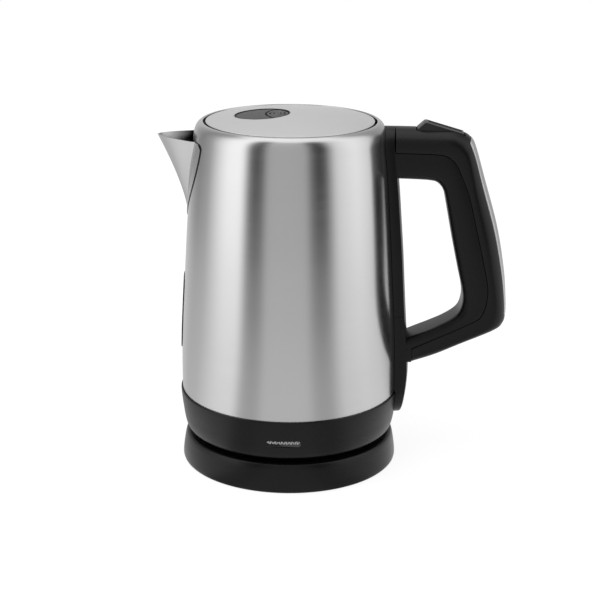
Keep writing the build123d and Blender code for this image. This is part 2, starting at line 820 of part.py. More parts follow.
def handle_outline():
    """The C of the handle: top arm, grip and lower arm, seen from the side."""
    back = ThreePointArc(*grip_back)
    top = Line((hx - 14, arm_top_z), (hx + 33, arm_top_z - 0.6))
    low = Line(back @ 1, (hx + 70, grip_low_z - 7.5))
    under = ThreePointArc(low @ 1, (hx + 43.5, arm_low_z + 13.0), (hx + 4, arm_low_z - 2.4))
    hole = [
        (hx + 4, arm_low_in_z - 2.6),
        (hx + 47.9, grip_low_z + 1.5),
        (hx + 29.6, arm_top_z - arm_depth),
        (hx - 14, arm_top_z - arm_depth),
    ]
    lines = [
        top,
        Line(top @ 1, back @ 0),
        back,
        low,
        under,
        Line(under @ 1, hole[0]),
        Line(hole[0], hole[1]),
        Line(hole[1], hole[2]),
        Line(hole[2], hole[3]),
        Line(hole[3], top @ 0),
    ]
    face = make_face(Wire(lines))
    for point, radius in (
        (top @ 1, 9.0),
        (back @ 0, 3.0),
        (back @ 1, 4.0),
        (low @ 1, 12.0),
        (hole[1], 18.0),
        (hole[2], 10.0),
    ):
        vertex = face.vertices().sort_by_distance(Vector(*point))[0]
        face = fillet(vertex, radius)
    return face


def shaver(start, end, through, inset):
    """What must go so that a side of the handle is rounded across its width.

    start, through and end are points of that side in the XZ plane. The side is turned
    into a barrel about the line that runs handle_round inside its two end points.
    """
    start, through, end = (Vector(p[0], 0, p[1]) for p in (start, through, end))
    along = (end - start).normalized()
    outward = Vector(along.Z, 0, -along.X)
    if (through - start).dot(outward) < 0:
        outward = outward * -1
    stretch = 14.0
    a = start - along * stretch
    b = end + along * stretch
    bulge = (through - start).dot(outward)
    radius = handle_round - inset
    arc = ThreePointArc(
        a + outward * (-inset - bulge * 0.55),
        through - outward * inset,
        b + outward * (-inset - bulge * 0.55),
    )
    axis_a = a - outward * handle_round
    axis_b = b - outward * handle_round
    face = make_face(
        Wire([arc, Line(arc @ 1, axis_b), Line(axis_b, axis_a), Line(axis_a, arc @ 0)])
    )
    barrel = revolve(face, Axis(axis_a, along))
    frame = Plane(origin=axis_a, x_dir=along, z_dir=outward)
    room = frame * Pos(0, -40, 0) * Box(
        (b - a).length, 80, radius + 40, align=(Align.MIN, Align.MIN, Align.MIN)
    )
    return room - barrel


def handle_solid(inset):
    """The handle's outside, moved inwards by inset on every side."""
    outline = handle_outline()
    if inset:
        outline = offset(outline, -inset).faces()[0]
    solid = slab(outline, handle_width / 2 - inset)
    solid -= shaver(grip_back[0], grip_back[2], grip_back[1], inset)
    top_mid = (hx + 10, arm_top_z - 0.1)
    solid -= shaver((hx - 10, arm_top_z), (hx + 33, arm_top_z - 0.6), top_mid, inset)
    return solid


def seam_region(shift=0.0):
    """The side of the handle's seam that belongs to the outer cover."""
    top_in = hx - 4.4 + shift
    seam_z = arm_top_z - 15.6 + shift
    low_in = hx + stub_out + shift
    low_z = stub_top_z - shift
    points = [
        (top_in, arm_top_z + 30),
        (top_in, seam_z),
        (hx + 39.5 + shift, seam_z - 0.6),
        (hx + 66.6 + shift, grip_low_z + 2.7 - shift),
        (low_in, low_z),
        (low_in, arm_low_z - 40),
        (hx + 140, arm_low_z - 40),
        (hx + 140, arm_top_z + 30),
    ]
    radii = (0, 0.6, 15.0, 20.0, 0.6, 0, 0, 0)
    return slab(rounded(points, radii), 60)


def trim_mask(grow=0.0):
    top = arm_top_z - 7.0 + grow
    low = grip_low_z + 0.6 - grow
    half_top = trim_half_top + grow
    half_low = trim_half_low + grow
    return prism_x(
        [(-half_top, top), (half_top, top), (half_low, low), (-half_low, low)], hx + 35, hx + 140
    )


rocker_x0 = hx + 10.2
rocker_x1 = hx + 43.0
rocker_pivot_x = hx + 22.0
rocker_pivot_z = arm_top_z - 6.0
rocker_pin_r = 1.2


def rocker_well():
    """The slot in the top of the handle that the rocker works in."""
    half = rocker_half_width + swing
    return block(rocker_x0 - 1.4, rocker_x1 + 0.6, -half, half, arm_top_z - 9, arm_top_z + 9)


def rocker_axle(r, half_length):
    return Pos(rocker_pivot_x, 0, rocker_pivot_z) * Rot(90, 0, 0) * Cylinder(r, 2 * half_length)


def handle_cover():
    cover = handle_solid(0) - handle_solid(moulding)
    cover &= seam_region(seam)
    cover -= trim_mask(seam) & (handle_solid(-1) - handle_solid(trim_t + seam - trim_proud))
    inner = rocker_half_width + swing
    for y in (-inner - 2.6, inner):
        cheek = block(rocker_x0, rocker_x1, y, y + 2.6, rocker_pivot_z - 3, arm_top_z)
        cover += cheek & handle_solid(0.8)
    cover -= rocker_well()
    return cover - rocker_axle(rocker_pin_r + 0.05, inner + 2.0)


def handle_trim():
    strip = handle_solid(-trim_proud) - handle_solid(trim_t - trim_proud)
    return strip & trim_mask() & seam_region(4.0)


def bar_mask():
    """The upright bar's outline seen from behind and above: tapered, round at both ends."""
    half = bar_half_width
    upright = block(0, hx + 9, -half, half, bar_tip_z + half, arm_top_z)
    corners = upright.edges().filter_by(Axis.X).sort_by(Axis.Z)[-2:]
    upright = fillet(corners, half - 4.0)
    tip = Pos(hx, 0, bar_tip_z + half) * Rot(0, 90, 0) * Cylinder(half, 60)
    draft = extrude(
        make_face(
            Polyline(
                (hx - 30, half + 2.4),
                (hx + 9, half - 3.6),
                (hx + 9, -half + 3.6),
                (hx - 30, -half - 2.4),
                close=True,
            )
        ),
        rim_z,
    )
    return (upright + tip) & draft


def bar_solid():
    """The bar behind the jug above its joint, still filled in to the jug's axis."""
    room = block(hx - 24, hx + 20, -60, 60, bar_joint_z, rim_z)
    return body_solid(-bar_thickness) & bar_mask() & room


def strap_solid():
    """The bar below its joint: it swells a little and then curves in to its tip."""
    outside = Spline(
        (hx + 0.6, bar_tip_z - 0.3),
        (hx + 4.6, bar_tip_z + 3.0),
        (hx + bar_thickness + 0.4, bar_tip_z + 13.0),
        (hx + bar_thickness + strap_swell, bar_tip_z + 32.0),
        (hx + bar_thickness + 0.7, bar_tip_z + 55.0),
        (body_x(bar_joint_z) + bar_thickness, bar_joint_z - seam),
    )
    filled = turned(
        Line((0, bar_tip_z - 0.3), outside @ 0),
        outside,
        Line(outside @ 1, (0, bar_joint_z - seam)),
        Line((0, bar_joint_z - seam), (0, bar_tip_z - 0.3)),
    )
    return filled & bar_mask() & block(hx - 14, hx + 20, -60, 60, 0, bar_joint_z)


def neck_solid():
    """The neck that joins the top arm to the shoulder of the jug."""
    half = bar_half_width - 0.6
    neck = block(hx - 26, hx - 4.4, -half, half, arm_top_z - arm_depth, arm_top_z)
    corners = neck.edges().filter_by(Axis.X).sort_by(Axis.Z)[-2:]
    return fillet(corners, half - 3.0)


def handle_frame():
    arms = (handle_solid(0) - handle_solid(moulding)) - seam_region(0)
    arms -= block(0, hx + stub_out, -60, 60, 0, stub_top_z)
    arms -= block(0, hx + bar_thickness + strap_swell + seam, -60, 60, 0, bar_joint_z)
    frame = arms + neck_solid() + (bar_solid() - seam_region(0))
    frame -= body_solid(-seam, bar_tip_z - 6)
    frame -= x_hole(steam_r + 0.1, body_r_shoulder - 10, hx, steam_z)
    return frame - x_hole(screw_r + 0.1, body_r_shoulder - 10, hx - 2, neck_screw_z)


def handle_strap():
    stub = handle_solid(0) & block(hx, hx + stub_out - seam, -60, 60, 0, stub_top_z - seam)
    strap = stub + strap_solid()
    strap = strap - body_solid(-seam, bar_tip_z - 6) - ring_solid(-seam)
    strap -= x_hole(screw_r + 0.1, hx - 5, hx + 9, strap_screw_z)
    return strap - x_hole(screw_head_r + 0.3, hx + 2.9, hx + 12, strap_screw_z)


def handle_screws():
    top = Pos(hx - 3.25, 0, neck_screw_z) * Rot(0, -90, 0) * screw(0, 10.0)
    low = Pos(hx + 4.1, 0, strap_screw_z) * Rot(0, -90, 0) * screw(0, 6.8)
    return Compound(children=[top, low])


switch_x0 = hx + 4.4


def steam_tube():
    pipe = x_hole(steam_r, body_r_shoulder - 3, switch_x0 - 1.0, steam_z)
    flange = x_hole(steam_r + 2.0, body_r_shoulder - 2.4, body_r_shoulder - 1.5, steam_z)
    return pipe + flange - x_hole(steam_r - 0.8, body_r_shoulder - 9, switch_x0, steam_z)


def steam_disc():
    return x_hole(6.5, switch_x0 - 0.6, switch_x0 - 0.1, steam_z)


def steam_switch():
    floor = arm_top_z - arm_depth + moulding + 0.1
    body = block(switch_x0, switch_x0 + 20, -7, 7, floor, arm_top_z - 9.6)
    return chamfer(body.edges().filter_by(Axis.Y).sort_by(Axis.Z)[-2:], 1.2)


def rocker():
    outline = rounded(
        [
            (rocker_x0, arm_top_z - 1.0),
            (rocker_x0 + 5.6, arm_top_z + rocker_rise),
            (rocker_x1, arm_top_z - 4.0),
            (rocker_x1 - 3, arm_top_z - 6.5),
            (rocker_pivot_x + 3, arm_top_z - 8.5),
            (rocker_pivot_x - 3, arm_top_z - 8.5),
            (rocker_x0 + 1, arm_top_z - 6.0),
        ],
        (0.8, 2.6, 0.8, 1.0, 1.0, 1.0, 0.6),
    )
    return slab(outline, rocker_half_width) + rocker_axle(rocker_pin_r, rocker_half_width + swing + 1.8)


nodes = {
    "base_cover": base_cover,
    "base_plate": base_plate,
    "foot_ring": foot_ring,
    "base_screws": base_screws,
    "base_connector": base_connector,
    "base_terminals": base_terminals,
    "cord_gland": cord_gland,
    "socket_housing": socket_housing,
    "socket_pin": socket_pin,
    "socket_ring": socket_ring,
    "lower_ring": lower_ring,
    "bottom_cover": bottom_cover,
    "bottom_screws": bottom_screws,
    "control_housing": control_housing,
    "bimetal_discs": bimetal_discs,
    "heating_plate": heating_plate,
    "plate_seal": plate_seal,
    "heat_spreader": heat_spreader,
    "heating_element": heating_element,
    "indicator_lens": indicator_lens,
    "indicator_board": indicator_board,
    "body_shell": body_shell,
    "window_frame": window_frame,
    "water_window": water_window,
    "window_gasket": window_gasket,
    "spout": spout,
    "spout_filter": spout_filter,
    "rim_collar": rim_collar,
    "lid_cover": lid_cover,
    "lid_frame": lid_frame,
    "lid_plate": lid_plate,
    "lid_screws": lid_screws,
    "lid_seal": lid_seal,
    "button_bezel": button_bezel,
    "lid_button": lid_button,
    "latch_bolt": latch_bolt,
    "button_spring": button_spring,
    "latch_spring": latch_spring,
    "lid_spring": lid_spring,
    "hinge_pin": hinge_pin,
    "handle_frame": handle_frame,
    "handle_cover": handle_cover,
    "handle_trim": handle_trim,
    "handle_strap": handle_strap,
    "handle_screws": handle_screws,
    "steam_tube": steam_tube,
    "steam_disc": steam_disc,
    "steam_switch": steam_switch,
    "rocker": rocker,
}

os.makedirs("parts", exist_ok=True)
for name, make in nodes.items():
    export_step(one(make(), name), f"parts/{name}.step")
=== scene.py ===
"""Electric kettle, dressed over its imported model.

The steel body, the spout, the lid with its insert and its two springs, the lower ring with
its indicator, the base's cover, the handle and the rocker are modelled here and stand for
their CAD nodes. Everything else is the CAD node itself in a better material. Lengths are
millimetres in the settings and in the functions that work out points, and metres in the
scene.
"""

import json
from math import cos, hypot, pi, radians, sin, sqrt

import bmesh
import bpy
from mathutils import Matrix, Vector


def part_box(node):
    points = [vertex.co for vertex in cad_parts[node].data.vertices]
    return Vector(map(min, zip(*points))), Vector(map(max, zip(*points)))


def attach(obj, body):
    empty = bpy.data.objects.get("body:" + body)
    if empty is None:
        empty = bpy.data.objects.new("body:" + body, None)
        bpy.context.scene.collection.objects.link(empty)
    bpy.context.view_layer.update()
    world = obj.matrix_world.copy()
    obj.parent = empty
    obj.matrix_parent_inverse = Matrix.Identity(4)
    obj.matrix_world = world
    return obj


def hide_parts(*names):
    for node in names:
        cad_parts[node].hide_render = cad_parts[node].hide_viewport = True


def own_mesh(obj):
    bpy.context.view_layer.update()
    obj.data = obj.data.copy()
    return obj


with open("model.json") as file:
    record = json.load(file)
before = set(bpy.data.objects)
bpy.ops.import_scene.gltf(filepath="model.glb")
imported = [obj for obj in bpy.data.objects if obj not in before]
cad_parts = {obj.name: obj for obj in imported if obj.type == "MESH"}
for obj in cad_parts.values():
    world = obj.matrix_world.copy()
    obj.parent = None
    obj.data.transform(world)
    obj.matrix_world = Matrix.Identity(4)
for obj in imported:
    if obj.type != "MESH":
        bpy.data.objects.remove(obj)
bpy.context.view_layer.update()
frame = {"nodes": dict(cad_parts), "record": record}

bl_info = {
    "name": "Electric Kettle",
    "version": (1, 0, 0),
    "blender": (4, 5, 0),
    "location": "View3D > Sidebar > Kettle",
    "description": "Dresses the packed kettle with detailed pieces and materials",
    "category": "Object",
}

MM = 0.001  # metres in a millimetre


def top_of(node_name):
    """Highest point of a CAD node in millimetres."""
    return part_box(node_name)[1][2] / MM


def foot_of(node_name):
    """Lowest point of a CAD node in millimetres."""
    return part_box(node_name)[0][2] / MM


RIM_Z = top_of("body_shell")
RING_Z0 = foot_of("lower_ring")
RING_Z1 = top_of("lower_ring")
ARM_TOP_Z = top_of("handle_frame")
SPOUT_TOP_Z = top_of("spout")
LID_TOP_Z = top_of("lid_cover")


# ---- settings ---------------------------------------------------------------------------
class JugSettings(bpy.types.PropertyGroup):
    """Sizes of the steel jug, its spout and its lid"""

    sheet: bpy.props.FloatProperty(
        name="Sheet", description="Thickness of the steel sheet, mm", default=0.7, min=0.3, max=1.5
    )
    steps: bpy.props.IntProperty(
        name="Steps", description="Divisions round the jug", default=192, min=64, max=256
    )
    spout_half: bpy.props.FloatProperty(
        name="Spout half width",
        description="Half width of the spout's walls at its rim, mm",
        default=21.0,
    )
    flange_half: bpy.props.FloatProperty(
        name="Flange half width",
        description="Half width of the spout's flange at its top, mm",
        default=32.0,
    )
    spout_length: bpy.props.FloatProperty(
        name="Spout length",
        description="Height of the spout from its rim down, mm",
        default=54.4,
    )
    spout_fall: bpy.props.FloatProperty(
        name="Rim fall",
        description="How much lower the spout's rim meets the body, mm",
        default=1.2,
    )
    lid_radius: bpy.props.FloatProperty(
        name="Lid radius", description="Radius of the lid's steel top, mm", default=57.6
    )
    insert_radius: bpy.props.FloatProperty(
        name="Insert radius", description="Radius of the round insert in the lid, mm", default=18.5
    )


class HandleSettings(bpy.types.PropertyGroup):
    """Sizes of the handle"""

    half_width: bpy.props.FloatProperty(
        name="Half width", description="Half of the handle's width, mm", default=15.0
    )
    back_round: bpy.props.FloatProperty(
        name="Back rounding",
        description="How far the back falls away towards the sides, mm",
        default=10.6,
    )
    finger_round: bpy.props.FloatProperty(
        name="Finger edge",
        description="Rounding of the edges that the fingers lie on, mm",
        default=6.0,
    )
    bar_half: bpy.props.FloatProperty(
        name="Bar half width",
        description="Half width of the upright bar at the jug, mm",
        default=16.1,
    )


class FinishSettings(bpy.types.PropertyGroup):
    """Colours of the finishes"""

    steel: bpy.props.StringProperty(
        name="Steel",
        description="Colour of the brushed stainless steel, sRGB hex",
        default="CACACA",
    )
    black: bpy.props.StringProperty(
        name="Black", description="Colour of the moulded black ABS, sRGB hex", default="08080A"
    )
    grey: bpy.props.StringProperty(
        name="Grey",
        description="Colour of the grey insert in the lid, sRGB hex",
        default="3B3B3C",
    )


class StageSettings(bpy.types.PropertyGroup):
    """Camera and light"""

    lens: bpy.props.FloatProperty(name="Lens", description="Focal length, mm", default=93.65)
    tent_radius: bpy.props.FloatProperty(
        name="Tent radius",
        description="Radius of the light tent",
        default=0.62,
        subtype="DISTANCE",
        unit="LENGTH",
    )
    key_power: bpy.props.FloatProperty(
        name="Key lamp", description="Power of the large lamp overhead, W", default=9.0
    )


# ---- materials --------------------------------------------------------------------------
def linear(hex_colour):
    """An sRGB hex colour as linear red, green, blue and alpha."""
    channels = [int(hex_colour[k : k + 2], 16) / 255 for k in (0, 2, 4)]
    return [c / 12.92 if c <= 0.04045 else ((c + 0.055) / 1.055) ** 2.4 for c in channels] + [1.0]


def node(tree, kind, inputs=None, stops=(), **settings):
    """Adds a node, gives it its settings, and sets or links its inputs."""
    made = tree.nodes.new(kind)
    for name, value in settings.items():
        setattr(made, name, value)
    for name, value in (inputs or {}).items():
        if isinstance(value, bpy.types.NodeSocket):
            tree.links.new(value, made.inputs[name])
        else:
            made.inputs[name].default_value = value
    if stops:
        ramp = made.color_ramp
        while len(ramp.elements) < len(stops):
            ramp.elements.new(1.0)
        for element, (place, colour) in zip(ramp.elements, stops):
            element.position = place
            element.color = colour
    return made


def new_material(name):
    """An empty node material, its node tree, and its object coordinates."""
    material = bpy.data.materials.new(name)
    material.use_nodes = True
    tree = material.node_tree
    tree.nodes.clear()
    coords = node(tree, "ShaderNodeTexCoord")
    return material, tree, coords.outputs["Object"]


def grey(value):
    """A linear grey with alpha."""
    return (value, value, value, 1.0)


def shade_pair(hex_colour, spread):
    """Two tones of one colour, a little darker and a little lighter."""
    base = linear(hex_colour)
    return (
        (0.0, [c * (1 - spread) for c in base[:3]] + [1.0]),
        (1.0, [min(c * (1 + spread), 1.0) for c in base[:3]] + [1.0]),
    )


def painted_spout_shade(tree, place, in_spout):
    """How dark the painted shade is where the spout is welded on: on the spout's upward faces it
    grows towards the body, and on the body it stays inside the spout's mouth. Each slope is a
    value with where it is unshaded and where it is fully shaded."""
    at = node(tree, "ShaderNodeSeparateXYZ", {"Vector": place}).outputs
    if in_spout:
        normal = node(tree, "ShaderNodeNewGeometry").outputs["True Normal"]
        upward = node(tree, "ShaderNodeSeparateXYZ", {"Vector": normal}).outputs["Z"]
        slopes = ((at["X"], -86 * MM, -69 * MM), (upward, 0.13, 0.19))
    else:
        aside = node(tree, "ShaderNodeMath", {0: at["Y"]}, operation="ABSOLUTE").outputs[0]
        slopes = (
            (aside, 17 * MM, 14 * MM),
            (at["Z"], 223 * MM, 227 * MM),
            (at["Z"], 231.6 * MM, 230.4 * MM),
            (at["X"], -50 * MM, -60 * MM),
        )
    painted_shade = None
    for value, clear, full in slopes:
        share = node(
            tree, "ShaderNodeMapRange", {"Value": value, "From Min": clear, "From Max": full}
        ).outputs[0]
        if painted_shade is not None:
            share = node(
                tree, "ShaderNodeMath", {0: painted_shade, 1: share}, operation="MULTIPLY"
            ).outputs[0]
        painted_shade = share
    return painted_shade


PATTERN_LOW, PATTERN_HIGH = 0.3, 0.7  # most of a noise pattern lies between these


def shaded(tree, colour, pattern, roughness, sockets, relief=None):
    """Finishes a material, whose roughness and relief follow its pattern. roughness is the
    least and the most of it, relief the strength and the height of the bumps."""
    least, most = roughness
    rough = node(
        tree,
        "ShaderNodeMapRange",
        {
            "Value": pattern,
            "From Min": PATTERN_LOW,
            "From Max": PATTERN_HIGH,
            "To Min": least,
            "To Max": most,
        },
    )
    inputs = {"Base Color": colour, "Roughness": rough.outputs[0], **sockets}
    if relief:
        strength, height = relief
        bump = node(
            tree, "ShaderNodeBump", {"Height": pattern, "Strength": strength, "Distance": height}
        )
        inputs["Normal"] = bump.outputs[0]
    shader = node(tree, "ShaderNodeBsdfPrincipled", inputs)
    node(tree, "ShaderNodeOutputMaterial", {"Surface": shader.outputs[0]})


def brushed_steel(
    name, colour, stretch, line_mm, roughness, depth, around=True, in_spout=None
):
    """Stainless steel ground with a belt: fine parallel lines that draw highlights out
    across them. stretch is the pattern's scale along each axis, in waves per line. in_spout
    gives it painted shade: inside the spout, or on the body in the spout's mouth."""
    material, tree, place = new_material(name)
    fine = 1000.0 / line_mm
    across = node(
        tree, "ShaderNodeMapping", {"Vector": place, "Scale": tuple(fine * s for s in stretch)}
    )
    lines = node(
        tree,
        "ShaderNodeTexNoise",
        {"Vector": across.outputs[0], "Scale": 1.0, "Detail": 3.0, "Roughness": 0.6},
    ).outputs["Fac"]
    cloud = node(tree, "ShaderNodeTexNoise", {"Vector": place, "Scale": 22.0, "Detail": 2.0})
    tone = node(tree, "ShaderNodeMath", {0: lines, 1: 0.75}, operation="MULTIPLY")
    tone = node(
        tree,
        "ShaderNodeMath",
        {0: cloud.outputs["Fac"], 1: 0.25, 2: tone.outputs[0]},
        operation="MULTIPLY_ADD",
    )
    base = node(
        tree, "ShaderNodeValToRGB", {"Fac": tone.outputs[0]}, stops=shade_pair(colour, 0.04)
    ).outputs["Color"]
    # painted shade: where the mask says, the steel darkens towards a dark brown grey inside the
    # spout and in its mouth
    if in_spout is not None:
        painted_shade = painted_spout_shade(tree, place, in_spout)
        base = node(
            tree,
            "ShaderNodeMixRGB",
            {"Fac": painted_shade, "Color1": base, "Color2": linear("262524")},
        ).outputs["Color"]
    sockets = {"Metallic": 1.0}
    if around:
        sockets["Anisotropic"] = 0.75
        sockets["Anisotropic Rotation"] = 0.25
        sockets["Tangent"] = node(
            tree, "ShaderNodeTangent", direction_type="RADIAL", axis="Z"
        ).outputs[0]
    shaded(tree, base, lines, (roughness - 0.015, roughness + 0.02), sockets, (depth, 0.03 * MM))
    return material


def moulded(name, colour, roughness, grain_mm, depth, specular=0.5):
    """A moulded or rubbery surface: a fine spark-eroded grain in the mould breaks up the
    gloss, and the colour drifts very slightly."""
    material, tree, place = new_material(name)
    grain = node(
        tree,
        "ShaderNodeTexNoise",
        {"Vector": place, "Scale": 1000.0 / grain_mm, "Detail": 2.0, "Roughness": 0.7},
    )
    drift = node(tree, "ShaderNodeTexNoise", {"Vector": place, "Scale": 30.0, "Detail": 3.0})
    base = node(
        tree, "ShaderNodeValToRGB", {"Fac": drift.outputs["Fac"]}, stops=shade_pair(colour, 0.12)
    )
    shaded(
        tree,
        base.outputs["Color"],
        grain.outputs["Fac"],
        (roughness - 0.05, roughness + 0.05),
        {"Specular IOR Level": specular},
        (depth, 0.05 * MM),
    )
    return material


def metal(name, colour, roughness, mark_mm, depth):
    """Plated, cast or turned metal with small marks in its surface."""
    material, tree, place = new_material(name)
    marks = node(
        tree, "ShaderNodeTexNoise", {"Vector": place, "Scale": 1000.0 / mark_mm, "Detail": 4.0}
    ).outputs["Fac"]
    base = node(tree, "ShaderNodeValToRGB", {"Fac": marks}, stops=shade_pair(colour, 0.1))
    shaded(
        tree,
        base.outputs["Color"],
        marks,
        (roughness - 0.08, roughness + 0.08),
        {"Metallic": 1.0},
        (depth, 0.04 * MM),
    )
    return material


def clear_plastic(name, colour, transmission):
    """Moulded clear polycarbonate or acrylic, with a faint flow texture."""
    material, tree, place = new_material(name)
    flow = node(
        tree, "ShaderNodeTexNoise", {"Vector": place, "Scale": 180.0, "Detail": 2.0}
    ).outputs["Fac"]
    base = node(tree, "ShaderNodeValToRGB", {"Fac": flow}, stops=shade_pair(colour, 0.08))
    shaded(
        tree,
        base.outputs["Color"],
        flow,
        (0.12, 0.2),
        {"Transmission Weight": transmission, "IOR": 1.49},
    )
    return material


def make_materials(finish):
    """Every finish of the kettle: the record's slots by their names, and a few more."""
    # Lines 0.7 mm apart, coarser than real ones, so that they show.
    belt_ground = (finish.steel, (0.015, 0.015, 1.0), 0.7, 0.25, 0.1)
    return {
        # Stainless sheet belt-ground round the jug: fine level lines, so that lamps spread
        # into upright bands.
        "brushed_steel": brushed_steel("Belt-ground stainless steel", *belt_ground),
        # The same sheet where the spout is welded on: painted shade darkens it inside the spout and
        # in its mouth.
        "wall_steel_painted_shade": brushed_steel(
            "Belt-ground steel, painted shade in the mouth", *belt_ground, in_spout=False
        ),
        "spout_steel_painted_shade": brushed_steel(
            "Belt-ground steel, painted shade inside", *belt_ground, in_spout=True
        ),
        # Stainless sheet with a short-stroke satin finish: soft, almost no direction.
        "lid_steel": brushed_steel(
            "Satin stainless steel", "DADADA", (0.04, 1.0, 0.4), 0.8, 0.42, 0.05, around=False
        ),
        # Pressed strip ground along its length.
        "trim_steel": brushed_steel(
            "Ground steel strip", "CFCFCF", (1.0, 1.0, 0.04), 0.8, 0.33, 0.25, around=False
        ),
        # Cold-rolled plate under the water: even satin.
        "plate_steel": metal("Rolled stainless plate", "C4C3C0", 0.34, 3.0, 0.15),
        # Injection-moulded ABS with a fine spark grain: deep, matte black with soft edges.
        "black_plastic": moulded(
            "Moulded black ABS", finish.black, 0.31, 0.9, 0.1, specular=0.26
        ),
        # Moulded polypropylene inside and underneath: a little greyer and waxier.
        "black_fittings": moulded(
            "Moulded black polypropylene", "0F0F10", 0.5, 1.2, 0.14, specular=0.34
        ),
        # Rocker in the same ABS from a polished mould: smoother, with crisper highlights.
        "rocker_plastic": moulded(
            "Semi-gloss black ABS", "151516", 0.34, 1.5, 0.08, specular=0.42
        ),
        # Insert moulded in dark grey ABS: matte and even.
        "grey_plastic": moulded("Moulded grey ABS", finish.grey, 0.48, 0.8, 0.15, specular=0.4),
        # Pad of the same ABS, nearly black and dull, with its relief a lighter grey.
        "pad_plastic": moulded(
            "Moulded dark grey ABS", "0E0E0F", 0.6, 0.8, 0.15, specular=0.08
        ),
        "ridge_plastic": moulded("Lighter grey relief", "727273", 0.5, 0.8, 0.1, specular=0.2),
        # Clear polycarbonate water gauge: glassy, slightly frosted.
        "lens_plastic": clear_plastic("Clear polycarbonate", "DCE1E4", 0.85),
        # Smoked acrylic of the indicator: dark, with light prisms behind it.
        "smoked_lens": clear_plastic("Smoked acrylic", "3A3A3C", 0.15),
        "prism_lens": moulded("Frosted light guide", "A9A9AB", 0.3, 0.6, 0.1),
        # Thermosetting moulding of the control: warm off-white, dull.
        "control_plastic": moulded("Moulded cream thermoset", "BFB9A6", 0.55, 1.0, 0.15),
        # Glass-fibre board under solder resist.
        "circuit_board": moulded("Green circuit board", "2B5A34", 0.35, 0.7, 0.2),
        # Moulded rubber foot and gland.
        "rubber": moulded("Moulded black rubber", "151516", 0.75, 0.7, 0.3, specular=0.25),
        # Translucent silicone seals.
        "silicone": moulded("Grey silicone rubber", "6E6E70", 0.5, 1.4, 0.12, specular=0.35),
        # Zinc plating on screws, pins and springs.
        "plated_steel": metal("Zinc-plated steel", "C3C4C6", 0.28, 1.5, 0.2),
        # Turned brass of the contacts.
        "brass": metal("Turned brass", "C9A35A", 0.24, 1.2, 0.15),
        # Die-cast aluminium spreader and the tube brazed to it.
        "aluminium": metal("Cast aluminium", "BDBEC0", 0.42, 1.8, 0.35),
        # Black strip in the joint behind the spout's flange: painted shade of the gap at the
        # flange's edge. The same black paints the shade in the gaps under the lid's edge and round
        # the insert, where it also stands for a seal.
        "black_seal_and_gap_shade": moulded("Black seal and painted gap shade", "0C0C0D", 0.6, 0.6, 0.2, specular=0.2),
    }


MATERIALS = {}


# ---- mesh helpers -----------------------------------------------------------------------
def along(points, value):
    """Reads a curve through (place, result) points at a place, with smooth joins."""
    points = sorted(points)
    if value <= points[0][0]:
        return points[0][1]
    if value >= points[-1][0]:
        return points[-1][1]
    last = len(points) - 1
    k = max(i for i in range(last) if points[i][0] <= value)
    (x0, y0), (x1, y1) = points[k], points[k + 1]
    rise = (y1 - y0) / (x1 - x0)
    before = (y0 - points[k - 1][1]) / (x0 - points[k - 1][0]) if k else rise
    after = (points[k + 2][1] - y1) / (points[k + 2][0] - x1) if k + 2 <= last else rise
    m0, m1 = (before + rise) / 2, (rise + after) / 2
    t, h = (value - x0) / (x1 - x0), x1 - x0
    return (
        (2 * t**3 - 3 * t**2 + 1) * y0
        + (t**3 - 2 * t**2 + t) * h * m0
        + (3 * t**2 - 2 * t**3) * y1
        + (t**3 - t**2) * h * m1
    )


def smooth_row(rows, count):
    """Fills in between rows of numbers, each number running smoothly from row to row."""
    columns = [list(enumerate(column)) for column in zip(*rows)]
    places = [(len(rows) - 1) * step / count for step in range(count + 1)]
    return [[along(column, place) for column in columns] for place in places]


def levels(low, high, count):
    """Places from low to high in equal steps."""
    return [low + (high - low) * k / count for k in range(count + 1)]


MERGE = 1e-6  # metres: points closer than this are one


def spun(profile, steps, closed=False, turn=2 * pi):
    """A surface turned round the jug's axis from (radius, height) points in mm."""
    bm = bmesh.new()
    verts = [bm.verts.new((r * MM, 0, z * MM)) for r, z in profile]
    edges = [bm.edges.new(pair) for pair in zip(verts, verts[1:])]
    if closed:
        edges.append(bm.edges.new((verts[-1], verts[0])))
    bmesh.ops.spin(
        bm,
        geom=verts + edges,
        cent=(0, 0, 0),
        axis=(0, 0, 1),
        angle=turn,
        steps=steps,
        use_merge=turn == 2 * pi,
    )
    bmesh.ops.remove_doubles(bm, verts=bm.verts, dist=MERGE)
    bmesh.ops.recalc_face_normals(bm, faces=bm.faces)
    return bm


def pulled(bm, edges, place):
    """Extrudes edges, puts each new vertex where a function of it says, and gives the new
    outer edges."""
    grown = bmesh.ops.extrude_edge_only(bm, edges=edges)["geom"]
    verts = {part for part in grown if isinstance(part, bmesh.types.BMVert)}
    for vert in verts:
        vert.co = place(vert)
    edges = [part for part in grown if isinstance(part, bmesh.types.BMEdge)]
    return [edge for edge in edges if set(edge.verts) <= verts]


def skinned(sections, closed=True, capped=True):
    """A surface drawn through cross sections in mm that have the same number of points."""
    bm = bmesh.new()
    number = bm.verts.layers.int.new("number")
    ring = [bm.verts.new(Vector(p) * MM) for p in sections[0]]
    for k, vert in enumerate(ring):
        vert[number] = k
    edges = [bm.edges.new(pair) for pair in zip(ring, ring[1:])]
    if closed:
        edges.append(bm.edges.new((ring[-1], ring[0])))
    if capped:
        bmesh.ops.contextual_create(bm, geom=edges)
    for section in sections[1:]:
        edges = pulled(bm, edges, lambda vert: Vector(section[vert[number]]) * MM)
    if capped:
        bmesh.ops.contextual_create(bm, geom=edges)
    bmesh.ops.remove_doubles(bm, verts=bm.verts, dist=MERGE)
    bmesh.ops.recalc_face_normals(bm, faces=bm.faces)
    return bm


